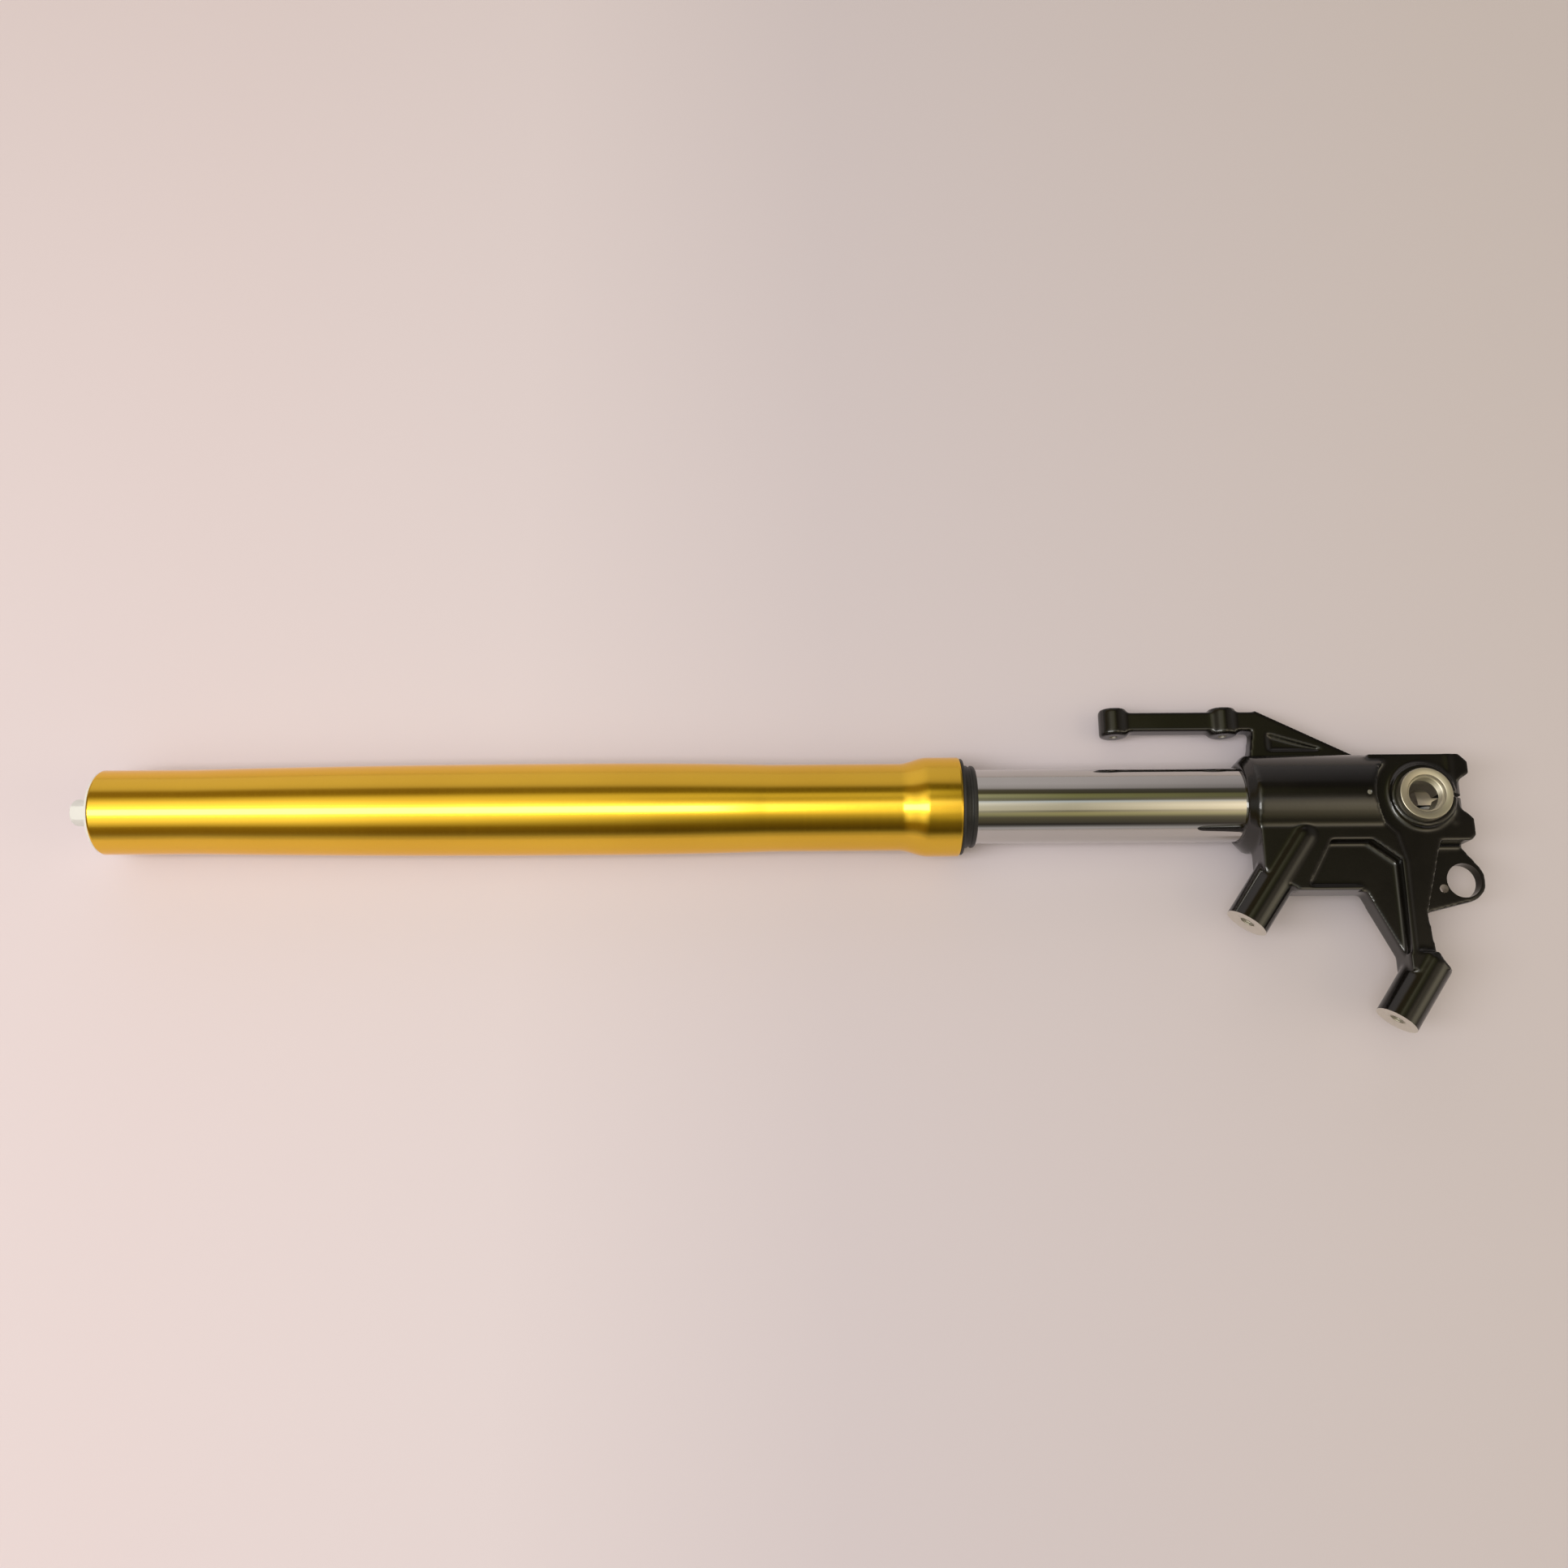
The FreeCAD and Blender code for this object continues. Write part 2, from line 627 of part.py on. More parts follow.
def make_damper():
    """The hollow rod with its piston, and the cartridge that slides along it with the lower leg."""
    turned("damper_rod", [
        ("window_to", "rod_bore_radius"),
        ("window_to", "rod_radius"),
        ("piston_from", "rod_radius"),
        ("piston_from", "rod_spigot_radius"),
        ("piston_nut_to", "rod_spigot_radius"),
        ("piston_nut_to", "rod_bore_radius"),
    ])
    nut_blank = hexagon("X", "lock_nut_flats", "lock_nut_length", "cage_end")
    nut_hole = cylinder("X", "rod_radius", "lock_nut_length", "cage_end")
    cut("rod_lock_nut", nut_blank, [nut_hole])

    ring_from = "piston_from + (piston_length - piston_ring_width) / 2"
    ring_to = ring_from + " + piston_ring_width"
    ring_floor = "piston_radius - piston_ring_depth"
    body_radius = "piston_radius - 2 * running_clearance"
    turned("rebound_piston", [
        ("piston_from", "rod_spigot_radius"),
        ("piston_from", body_radius),
        (ring_from, body_radius),
        (ring_from, ring_floor),
        (ring_to, ring_floor),
        (ring_to, body_radius),
        ("piston_to", body_radius),
        ("piston_to", "rod_spigot_radius"),
    ])
    sleeve("piston_ring", ring_from, ring_to, ring_floor, "piston_radius")
    piston_nut = hexagon("X", "piston_nut_flats", "piston_nut_length", "piston_to")
    piston_nut_hole = cylinder("X", "rod_spigot_radius", "piston_nut_length", "piston_to")
    cut("piston_nut", piston_nut, [piston_nut_hole])
    coil("top_out_spring", "head_end", "piston_from", "cartridge_bore - seat_bore_clearance",
         "top_out_wire", "top_out_turns")

    sleeve("cartridge_tube", "head_plug_from", "foot_from", "cartridge_bore", "cartridge_radius")
    turned("cartridge_head", [
        ("cartridge_top", "rod_radius + running_clearance"),
        ("cartridge_top", "cartridge_radius"),
        ("head_plug_from", "cartridge_radius"),
        ("head_plug_from", "cartridge_bore"),
        ("head_end", "cartridge_bore"),
        ("head_end", "rod_radius + running_clearance"),
    ])
    sleeve("base_valve", "base_valve_from", "foot_plug_from", "base_valve_bore",
           "cartridge_bore")
    thread_from = "socket_floor - bottom_bolt_engagement"
    turned("cartridge_foot", [
        ("foot_plug_from", "base_valve_bore"),
        ("foot_plug_from", "cartridge_bore"),
        ("foot_from", "cartridge_bore"),
        ("foot_from", "inner_bore_radius - foot_side_clearance"),
        ("socket_floor", "inner_bore_radius - foot_side_clearance"),
        ("socket_floor", "bottom_bolt_radius"),
        (thread_from, "bottom_bolt_radius"),
        (thread_from, "base_valve_bore"),
    ])


def make_bottom_bolt():
    """The socket bolt that holds the cartridge in the casting, with its soft washer."""
    shank_from = "socket_floor - bottom_bolt_engagement"
    shank = cylinder("X", "bottom_bolt_radius", "bolt_head_from - (%s)" % shank_from, shank_from)
    head = cylinder("X", "bottom_bolt_head_radius", "bottom_bolt_head_length", "bolt_head_from")
    key = hexagon("X", "bottom_bolt_key_flats", "bottom_bolt_key_depth",
                  "bolt_head_to - bottom_bolt_key_depth")
    cut("bottom_bolt", fuse("bottom_bolt_blank", [shank, head]), [key])
    sleeve("bolt_washer", "bolt_seat", "bolt_head_from", "bottom_bolt_radius", "bolt_washer_radius")


def make_seals():
    """The bushes and the stack of rings in the flared end of the outer tube."""
    sleeve("guide_bush", "guide_bush_from", "seal_seat_from", "lip_radius", "guide_bush_seat_radius")
    sleeve("backup_ring", "seal_seat_from", "oil_seal_from", "lip_radius + seal_ring_gap",
           "seal_seat_radius")
    spring_room = "lip_radius + seal_lip_relief"
    turned("oil_seal", [
        ("oil_seal_from", "lip_radius"),
        ("oil_seal_from", spring_room),
        ("oil_seal_from + oil_seal_length / 2", spring_room),
        ("oil_seal_from + oil_seal_length / 2", spring_room + " + 2 * garter_wire"),
        ("oil_seal_from", spring_room + " + 2 * garter_wire"),
        ("oil_seal_from", "seal_seat_radius"),
        ("oil_seal_to", "seal_seat_radius"),
        ("oil_seal_to", "lip_radius"),
    ])
    ring("seal_garter_spring", "oil_seal_from + oil_seal_length / 4",
         spring_room + " + garter_wire / 2", "garter_wire / 2")
    stopper = sleeve("stopper_blank", "stopper_from", "stopper_to",
                     "seal_seat_radius - stopper_ring_wire", "seal_seat_radius + stopper_groove_depth")
    gap = box("stopper_from", "stopper_to", "0", "flare_radius", "-stopper_ring_wire",
              "stopper_ring_wire")
    cut("stopper_ring", stopper, [gap])
    turned("dust_seal", [
        ("dust_seal_from", "lip_radius + seal_lip_relief"),
        ("dust_seal_from", "seal_seat_radius"),
        ("tube_end", "seal_seat_radius"),
        ("tube_end", "dust_seal_flange_radius"),
        ("tube_end + dust_seal_flange_thickness", "dust_seal_flange_radius"),
        ("tube_end + dust_seal_flange_thickness", "dust_seal_radius"),
        ("dust_seal_to - tube_edge_chamfer", "dust_seal_radius"),
        ("dust_seal_to", "dust_seal_radius - tube_edge_chamfer"),
        ("dust_seal_to", "lip_radius"),
        ("dust_seal_to - seal_lip_relief", "lip_radius"),
        ("dust_seal_to - 2 * seal_lip_relief", "lip_radius + seal_lip_relief"),
    ])


def make_inner_tube():
    """The hard-chromed tube that slides in the bushes, and the bush seated at its top."""
    turned("inner_tube", [
        ("inner_tube_top", "inner_bore_radius"),
        ("inner_tube_top", "inner_tube_radius"),
        ("bush_seat_from", "inner_tube_radius"),
        ("bush_seat_from", "bush_seat_radius"),
        ("bush_seat_to", "bush_seat_radius"),
        ("bush_seat_to", "inner_tube_radius"),
        ("socket_floor", "inner_tube_radius"),
        ("socket_floor", "inner_bore_radius"),
    ])
    sleeve("slide_bush", "bush_seat_from", "bush_seat_to", "bush_seat_radius",
           "outer_bore_radius - running_clearance")


def post(end_x, end_y, radius, length):
    """A post that runs from a caliper face back towards the body, in the level of the posts."""
    item = doc.addObject("Part::Cylinder", "post")
    bind(item, {"Radius": radius, "Height": length})
    turn = "rotation(vector(-cos(post_angle); sin(post_angle); 0); 90)"
    place = "placement(vector(%s; %s; post_level); %s)" % (end_x, end_y, turn)
    return bind(item, {"Placement": place})


def thread_hole(end_x, end_y):
    """The threaded hole of one caliper post with its countersink."""
    hole = post(end_x, end_y, "caliper_thread_radius", "caliper_thread_depth")
    mouth = doc.addObject("Part::Cone", "mouth")
    turn = "rotation(vector(-cos(post_angle); sin(post_angle); 0); 90)"
    bind(mouth, {
        "Radius1": "caliper_thread_radius + caliper_thread_chamfer",
        "Radius2": "caliper_thread_radius",
        "Height": "caliper_thread_chamfer",
        "Placement": "placement(vector(%s; %s; post_level); %s)" % (end_x, end_y, turn),
    })
    return [hole, mouth]


def casting_body():
    """The round body that holds the inner tube."""
    blank = turned("casting_barrel", [
        ("casting_top", "0"),
        ("casting_top", "casting_body_radius - casting_collar_chamfer"),
        ("casting_top + casting_collar_chamfer", "casting_body_radius"),
        ("-axle_boss_radius", "casting_body_radius"),
        ("-axle_boss_radius", "0"),
    ])
    spot_face = cylinder("Z", "spot_face_radius", "casting_body_radius", z="block_top")
    return cut("casting_spot_faced", blank, [spot_face])


def axle_block():
    """The block around the axle, with two jaws at its end and a boss on each side."""
    jaws = prism([
        ("-spot_face_radius", "-block_rear"),
        ("-spot_face_radius", "block_front"),
        ("jaw_end - jaw_corner", "block_front"),
        ("jaw_end", "block_front - jaw_corner"),
        ("jaw_end", "front_jaw_inner + jaw_slope"),
        ("notch_floor", "front_jaw_inner"),
        ("notch_floor", "-rear_jaw_inner"),
        ("jaw_end", "-rear_jaw_inner - 1.5 * jaw_slope"),
        ("jaw_end", "-block_rear + jaw_corner / 2"),
        ("jaw_end - jaw_corner / 2", "-block_rear"),
    ], "jaw_bottom", "block_top")
    lower = box("-spot_face_radius", "lower_block_end", "-lower_block_rear", "lower_block_front",
                "-block_bottom", "jaw_bottom")
    boss = cylinder("Z", "axle_boss_radius", "axle_boss_top + axle_face_bottom", z="-axle_face_bottom")
    return [jaws, lower, boss]


def web_and_posts():
    """The web, its rib and pocket, and the two posts that carry the brake caliper."""
    root = "-casting_body_radius / 2"
    outline = [
        ("casting_top + web_collar_edge", root),
        ("arm_root_x", root),
        ("arm_root_x", "-block_rear"),
        ("-arm_right_x", "-arm_right_y"),
        ("-arm_right_x / 2", "-arm_knee_y"),
        ("arm_foot_x", "-arm_foot_y"),
        ("-arm_left_x", "-arm_foot_y"),
        ("-arm_left_x", "-arm_knee_y"),
        ("-web_edge_to", "-web_edge_y"),
        ("-web_edge_from", "-web_edge_y"),
        ("casting_top + web_collar_edge", "-web_edge_y + post_radius"),
    ]
    plate = prism(outline, "web_bottom", "web_top")
    pocket = prism([
        ("-pocket_top_from", "-pocket_top_y"),
        ("-pocket_top_to", "-pocket_top_y"),
        ("-rib_x", "-rib_top_y"),
        ("-rib_x", "-rib_foot_y"),
        ("-arm_left_x - post_radius", "-arm_foot_y"),
        ("-web_edge_to - post_radius", "-web_edge_y - post_radius"),
        ("-web_edge_to - rim_width", "-web_edge_y + rim_width"),
        ("-pocket_low_from", "-web_edge_y + rim_width"),
    ], "web_floor", "web_top")
    shelf = prism([
        ("-rib_x + rib_width", "-rib_foot_y"),
        ("-rib_x + rib_width", "-rib_top_y"),
        ("-rib_x", "-block_rear"),
        ("arm_root_x", "-block_rear"),
        ("arm_root_x", "-rib_foot_y"),
    ], "block_top", "web_top")
    spot_face = cylinder("Z", "spot_face_radius", "casting_body_radius", z="block_top")
    web = cut("casting_web", plate, [pocket, shelf, spot_face])

    upper_post = post("-upper_post_end_x", "-upper_post_end_y", "post_radius", "upper_post_length")
    crown = doc.addObject("Part::Sphere", "crown")
    bind(crown, {"Radius": "post_radius"})
    put_at(crown, "-upper_post_end_x + upper_post_length * sin(post_angle)",
           "-upper_post_end_y + upper_post_length * cos(post_angle)", "post_level")
    lower_post = post("lower_post_end_x", "lower_post_end_y", "post_radius", "lower_post_length")
    return [web, upper_post, crown, lower_post]


def sensor_ear():
    """The thin ear that holds the wheel speed sensor."""
    plate = prism([
        ("-arm_right_x", "-block_rear"),
        ("ear_x", "-ear_root_y"),
        ("ear_x + ear_radius * cos(ear_tangent_upper)", "-ear_y + ear_radius * sin(ear_tangent_upper)"),
        ("ear_x + ear_radius * cos(ear_tangent_lower)", "-ear_y - ear_radius * sin(ear_tangent_lower)"),
        ("ear_low_x", "-ear_low_y"),
        ("-arm_right_x", "-arm_right_y"),
    ], "-ear_bottom", "ear_top")
    tip = cylinder("Z", "ear_radius", "ear_bottom + ear_top", "ear_x", "-ear_y", "-ear_bottom")
    root = box("-arm_right_x", "jaw_end - jaw_corner / 4", "-ear_root_y", "-lower_block_rear", "-ear_bottom",
               "jaw_bottom")
    return [plate, tip, root]


def mudguard_arm():
    """The slim arm at the front with two cross bosses, and the gusset that carries it."""
    half = "arm_bar_width / 2"
    bar = box("-arm_boss_outer_x", "-gusset_top_x", "arm_bar_y - " + half, "arm_bar_y + " + half,
              "arm_low", "arm_high")
    gusset = prism([
        ("-gusset_root_x", "casting_body_radius / 2"),
        ("-gusset_root_x", "casting_body_radius"),
        ("-gusset_top_x", "gusset_top_y"),
        ("-gusset_end_x", "gusset_end_y"),
        ("-gusset_end_x", "casting_body_radius / 2"),
    ], "arm_low", "arm_high")
    margin = "gusset_pocket_margin"
    pocket = prism([
        ("-gusset_root_x + 2 * " + margin, "casting_body_radius + " + margin),
        ("-gusset_root_x + 2 * " + margin, "gusset_top_y - 2.5 * " + margin),
        ("-gusset_top_x / 2", "casting_body_radius + " + margin),
    ], "arm_high - gusset_pocket_depth", "arm_high")
    items = [bar, cut("casting_gusset", gusset, [pocket])]
    for x in ("-arm_boss_outer_x", "arm_boss_inner_x"):
        items.append(cylinder("Y", "arm_boss_radius", "arm_boss_length", x,
                              "arm_bar_y - arm_boss_length / 2", "-arm_level"))
    return items


def casting_holes():
    """Every hole that is bored in the casting."""
    socket = cylinder("X", "inner_tube_radius", "socket_floor - casting_top", "casting_top")
    bolt_hole = cylinder("X", "bottom_bolt_radius + bolt_hole_clearance", "socket_wall", "socket_floor")
    key_hole = cylinder("X", "key_hole_radius", "lower_block_end - bolt_seat", "bolt_seat")
    axle_bore = cylinder("Z", "axle_bore_radius", "collar_seat + axle_face_bottom", z="-axle_face_bottom")
    collar_seat = cylinder("Z", "collar_radius", "collar_top - collar_seat", z="collar_seat")
    slit = box("axle_bore_radius / 2", "jaw_end", "-clamp_slit_width / 2", "clamp_slit_width / 2",
               "-axle_face_bottom", "axle_boss_top")
    seal_groove = turned("casting_seal_groove", [
        ("casting_top + casting_seal_offset - casting_seal_wire", "inner_tube_radius"),
        ("casting_top + casting_seal_offset - casting_seal_wire", "inner_tube_radius + 2 * casting_seal_wire"),
        ("casting_top + casting_seal_offset + casting_seal_wire", "inner_tube_radius + 2 * casting_seal_wire"),
        ("casting_top + casting_seal_offset + casting_seal_wire", "inner_tube_radius"),
    ])
    lock_hole = cylinder("Z", "lock_screw_radius", "casting_body_radius - inner_bore_radius",
                         "socket_floor - lock_screw_offset", z="inner_bore_radius")
    ear_bore = cylinder("Z", "ear_bore_radius", "ear_bottom + ear_top", "ear_x", "-ear_y", "-ear_bottom")
    ear_screw = cylinder("Z", "ear_screw_radius", "ear_bottom + ear_top", "ear_screw_x", "-ear_screw_y",
                         "-ear_bottom")
    items = [socket, bolt_hole, key_hole, axle_bore, collar_seat, slit, seal_groove, lock_hole]
    items += [ear_bore, ear_screw]
    for x in ("-arm_boss_outer_x", "arm_boss_inner_x"):
        items.append(cylinder("Y", "arm_thread_radius", "arm_boss_length", x,
                              "arm_bar_y - arm_boss_length / 2", "-arm_level"))
    items += thread_hole("-upper_post_end_x", "-upper_post_end_y")
    items += thread_hole("lower_post_end_x", "lower_post_end_y")
    for side in PINCH_SIDES:
        items += pinch_bolt_space(side)
    return items


PINCH_SIDES = ("+", "-")


def pinch_level(side):
    """The height of one pinch bolt, above or below the middle of the clamp."""
    return "-pinch_bolt_centre %s pinch_bolt_spread" % side


def pinch_bolt_space(side):
    """The bore and the sunk seat of one pinch bolt."""
    level = pinch_level(side)
    bore = cylinder("Y", "pinch_bolt_radius", "pinch_bolt_length", "pinch_bolt_offset",
                    "pinch_head_seat - pinch_bolt_length", level)
    sink = cylinder("Y", "pinch_head_radius + bolt_hole_clearance", "block_front - (pinch_head_seat)",
                    "pinch_bolt_offset", "pinch_head_seat", level)
    return [bore, sink]


def make_casting():
    """The cast lower end with the axle clamp, caliper posts, sensor ear and mudguard arm."""
    solids = [casting_body()] + axle_block() + web_and_posts() + sensor_ear() + mudguard_arm()
    cut("axle_casting", fuse("casting_blank", solids), casting_holes())
    ring("casting_seal_ring", "casting_top + casting_seal_offset",
         "inner_tube_radius + casting_seal_wire", "casting_seal_wire")


def make_casting_hardware():
    """The axle collar, the pinch bolts and the screw that locks the inner tube."""
    rim = cylinder("Z", "collar_radius", "collar_top - collar_seat", z="collar_seat")
    bore = cylinder("Z", "axle_bore_radius", "collar_top - collar_seat", z="collar_seat")
    mouth = cone("Z", "axle_bore_radius", "axle_bore_radius + jaw_corner / 3", "jaw_corner / 3",
                 z="collar_top - jaw_corner / 3")
    cut("axle_collar", rim, [bore, mouth])

    bolts = []
    for side in PINCH_SIDES:
        level = pinch_level(side)
        shank = cylinder("Y", "pinch_bolt_radius", "pinch_bolt_length", "pinch_bolt_offset",
                         "pinch_head_seat - pinch_bolt_length", level)
        head = cylinder("Y", "pinch_head_radius", "pinch_head_length", "pinch_bolt_offset",
                        "pinch_head_seat", level)
        key = hexagon("Y", "pinch_key_flats", "pinch_key_depth", "pinch_bolt_offset",
                      "pinch_head_seat + pinch_head_length - pinch_key_depth", level)
        bolts.append(cut("pinch_bolt", fuse("pinch_bolt_blank", [shank, head]), [key]))
    group("pinch_bolts", bolts)

    screw = cylinder("Z", "lock_screw_radius", "casting_body_radius - inner_tube_radius - rebound_screw_sink",
                     "socket_floor - lock_screw_offset", z="inner_tube_radius")
    screw.Label = "lock_screw"


NODES = [
    "outer_tube", "fork_cap", "cap_seal_ring", "damper_rod", "rod_lock_nut", "rebound_piston",
    "piston_ring", "piston_nut", "top_out_spring", "guide_bush", "backup_ring", "oil_seal",
    "seal_garter_spring", "stopper_ring", "dust_seal", "inner_tube", "slide_bush", "axle_casting",
    "axle_collar", "casting_seal_ring", "lock_screw", "bottom_bolt", "bolt_washer", "cartridge_tube",
    "cartridge_head", "cartridge_foot", "base_valve", "lower_spring_seat", "pinch_bolts",
    "preload_plate", "spacer_washer", "preload_spacer", "upper_spring_seat", "main_spring",
    "preload_adjuster", "rebound_adjuster", "rebound_push_rod",
]


def check_document():
    """Stops if any object failed, or if a piece has no sound shape."""
    for item in doc.Objects:
        if "Invalid" in item.State or "Error" in item.State:
            raise SystemExit("object %s failed: %s" % (item.Label, item.State))
    for node in NODES:
        shape = doc.getObjectsByLabel(node)[0].Shape
        if shape.isNull() or not shape.isValid() or not shape.Solids:
            raise SystemExit("piece %s has no sound shape" % node)


def write_pieces():
    """Writes one file for each piece and says what it holds."""
    os.makedirs("parts", exist_ok=True)
    for node in NODES:
        shape = doc.getObjectsByLabel(node)[0].Shape
        shape.exportStep("parts/%s.step" % node)
        print("%-20s solids %d  volume %9.0f mm3" % (node, len(shape.Solids), shape.Volume))


fill_sheet()
make_outer_tube()
make_cap()
make_adjusters()
make_spring_train()
make_damper()
make_bottom_bolt()
make_seals()
make_inner_tube()
make_casting()
make_casting_hardware()
doc.recompute()
check_document()
write_pieces()
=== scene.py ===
# %% [markdown]
# # A front fork leg, finished for its portrait
# The leg lies on pale paper and is seen from nearly straight above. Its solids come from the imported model, which
# is loaded first and is never moved. This lesson gives each piece that shows a smooth mesh and a finish, and it
# sets up the light and the camera. All lengths in the cells are millimetres, turned into metres where they are used.

# %% Load the frame
import json
import math

import bpy
from mathutils import Matrix, Vector

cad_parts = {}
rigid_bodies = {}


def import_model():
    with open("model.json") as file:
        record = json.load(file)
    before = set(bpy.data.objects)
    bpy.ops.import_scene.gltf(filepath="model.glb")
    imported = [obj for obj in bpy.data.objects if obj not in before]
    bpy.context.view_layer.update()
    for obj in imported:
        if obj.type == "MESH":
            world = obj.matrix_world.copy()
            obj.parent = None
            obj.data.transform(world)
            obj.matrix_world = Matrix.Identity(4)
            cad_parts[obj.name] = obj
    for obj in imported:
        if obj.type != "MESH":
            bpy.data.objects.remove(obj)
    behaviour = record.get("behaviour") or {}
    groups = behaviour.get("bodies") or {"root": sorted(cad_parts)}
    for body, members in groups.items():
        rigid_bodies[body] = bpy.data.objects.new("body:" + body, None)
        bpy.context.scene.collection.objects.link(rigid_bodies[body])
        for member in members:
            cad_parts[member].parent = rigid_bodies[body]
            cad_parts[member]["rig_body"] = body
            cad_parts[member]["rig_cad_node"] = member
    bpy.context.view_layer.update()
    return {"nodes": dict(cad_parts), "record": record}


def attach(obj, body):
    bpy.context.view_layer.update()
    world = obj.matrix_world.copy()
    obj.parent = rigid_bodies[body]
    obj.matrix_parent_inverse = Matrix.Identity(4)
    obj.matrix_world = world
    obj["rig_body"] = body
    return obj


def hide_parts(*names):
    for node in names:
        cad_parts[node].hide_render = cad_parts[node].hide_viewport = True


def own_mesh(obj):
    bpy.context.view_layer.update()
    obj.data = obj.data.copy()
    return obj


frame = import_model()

nodes = frame["nodes"]
MM = 0.001

# %% [markdown]
# Operators act on whatever is selected, and the loaded nodes come in selected. So each step first takes hold of
# one piece alone. A finished piece keeps its place in its mesh, with its object at the origin, so patterns that
# read object coordinates stay where they are.


# %% Taking hold of a piece
def nothing_selected():
    """Leaves edit mode and lets go of every object."""
    if bpy.context.mode != "OBJECT":
        bpy.ops.object.mode_set(mode="OBJECT")
    bpy.ops.object.select_all(action="DESELECT")


def take(piece):
    """Makes one piece the only selected and the active one."""
    nothing_selected()
    piece.select_set(True)
    bpy.context.view_layer.objects.active = piece
    return piece


def settle(name):
    """Names the active object and moves its place, turn and scale into its mesh."""
    piece = take(bpy.context.object)
    piece.name = name
    piece.data.name = name
    bpy.ops.object.transform_apply(location=True, rotation=True, scale=True)
    return piece


def finish_with(piece, kind, **settings):
    """Adds one modifier to a piece and applies it."""
    take(piece)
    modifier = piece.modifiers.new(kind, kind)
    for setting, worth in settings.items():
        setattr(modifier, setting, worth)
    bpy.ops.object.modifier_apply(modifier=modifier.name)


def smooth(piece, degrees=32):
    """Shades a piece smooth and keeps the edges sharper than an angle."""
    take(piece)
    bpy.ops.object.shade_smooth_by_angle(angle=math.radians(degrees))
    return piece


nothing_selected()
print("selected", len(bpy.context.selected_objects))

# %% [markdown]
# Most of the leg is turned on a lathe. A lathe part is a half section spun about its axis: one vertex is extruded
# from corner to corner of the section, and the outline is then spun. A drawn profile and the Screw modifier would
# give the same shape, but a list of corners is easier to measure. A curve in the section, such as the long swell of
# the outer tube, is a run of short steps along an arc or an S, so that reflections flow along it.


# %% Turning a section
SEED_SIDE = 0.0001
SPUN_SEAM = 0.000001


def along_arc(start, end, radius, steps=14):
    """Corners on a shallow arc between two (x, radius) corners, bowed outwards."""
    (xa, ra), (xb, rb) = start, end
    half = Vector((xb - xa, rb - ra)) / 2
    middle = Vector((xa, ra)) + half
    rise = math.sqrt(radius ** 2 - half.length ** 2)
    outwards = Vector((-half.y, half.x)).normalized()
    centre = middle - outwards * rise
    corners = []
    for step in range(1, steps + 1):
        spot = Vector((xa, ra)) + half * 2 * step / steps - centre
        spot = centre + spot.normalized() * radius
        corners.append((spot.x, spot.y))
    return corners


def along_bend(start, end, steps=14):
    """Corners on an S-shaped bend between two (x, radius) corners."""
    (xa, ra), (xb, rb) = start, end
    corners = []
    for step in range(1, steps + 1):
        t = step / steps
        corners.append((xa + (xb - xa) * t, ra + (rb - ra) * t * t * (3 - 2 * t)))
    return corners


def turned(name, section, steps=160, upright=False):
    """Spins a closed half section of (along, radius) corners about the leg's axis, or about the axle."""
    nothing_selected()
    first = section[0]
    bpy.ops.mesh.primitive_plane_add(size=SEED_SIDE, location=(first[0] * MM, first[1] * MM, 0))
    piece = settle(name)
    bpy.ops.object.mode_set(mode="EDIT")
    bpy.ops.mesh.select_all(action="SELECT")
    bpy.ops.mesh.merge(type="CENTER")
    for here, there in zip(section, section[1:] + [first]):
        step = ((there[0] - here[0]) * MM, (there[1] - here[1]) * MM, 0)
        bpy.ops.mesh.extrude_region_move(TRANSFORM_OT_translate={"value": step})
    bpy.ops.mesh.select_all(action="SELECT")
    bpy.ops.mesh.remove_doubles(threshold=SPUN_SEAM)
    bpy.ops.mesh.spin(steps=steps, angle=2 * math.pi, center=(0, 0, 0), axis=(1, 0, 0))
    bpy.ops.mesh.select_all(action="SELECT")
    bpy.ops.mesh.remove_doubles(threshold=SPUN_SEAM)
    bpy.ops.mesh.normals_make_consistent(inside=False)
    bpy.ops.object.mode_set(mode="OBJECT")
    if upright:
        piece.rotation_euler = (0, math.radians(-90), 0)
        settle(name)
    return smooth(piece)


print("a section has its corners in millimetres, and the unit is", MM)

# %% [markdown]
# The cutters and fillings of the later steps are bars and boxes, and they join or cut a piece by Boolean. The exact
# solver is slower than the fast one, and it is taken because thin walls and faces that touch are common here. A new
# face takes the finish of the cutter, so a drilled hole in a painted piece can be bare.


# %% Bars, boxes and cuts
def cylinder(name, radius, start, end, vertices=96, narrow=None):
    """A round bar between two points, or a cone if its far radius differs."""
    nothing_selected()
    a, b = Vector(start) * MM, Vector(end) * MM
    turn = (b - a).to_track_quat("Z", "Y").to_euler()
    bpy.ops.mesh.primitive_cone_add(
        vertices=vertices, radius1=radius * MM, radius2=(radius if narrow is None else narrow) * MM,
        depth=(b - a).length, location=(a + b) / 2, rotation=turn)
    return settle(name)


def block(name, low, high):
    """A box between two corners."""
    nothing_selected()
    low, high = Vector(low) * MM, Vector(high) * MM
    bpy.ops.mesh.primitive_cube_add(size=1, location=(low + high) / 2)
    bpy.context.object.scale = high - low
    return settle(name)


def joined(name, pieces):
    """Several meshes as one object."""
    nothing_selected()
    for piece in pieces:
        piece.select_set(True)
    bpy.context.view_layer.objects.active = pieces[0]
    bpy.ops.object.join()
    pieces[0].name = name
    return pieces[0]


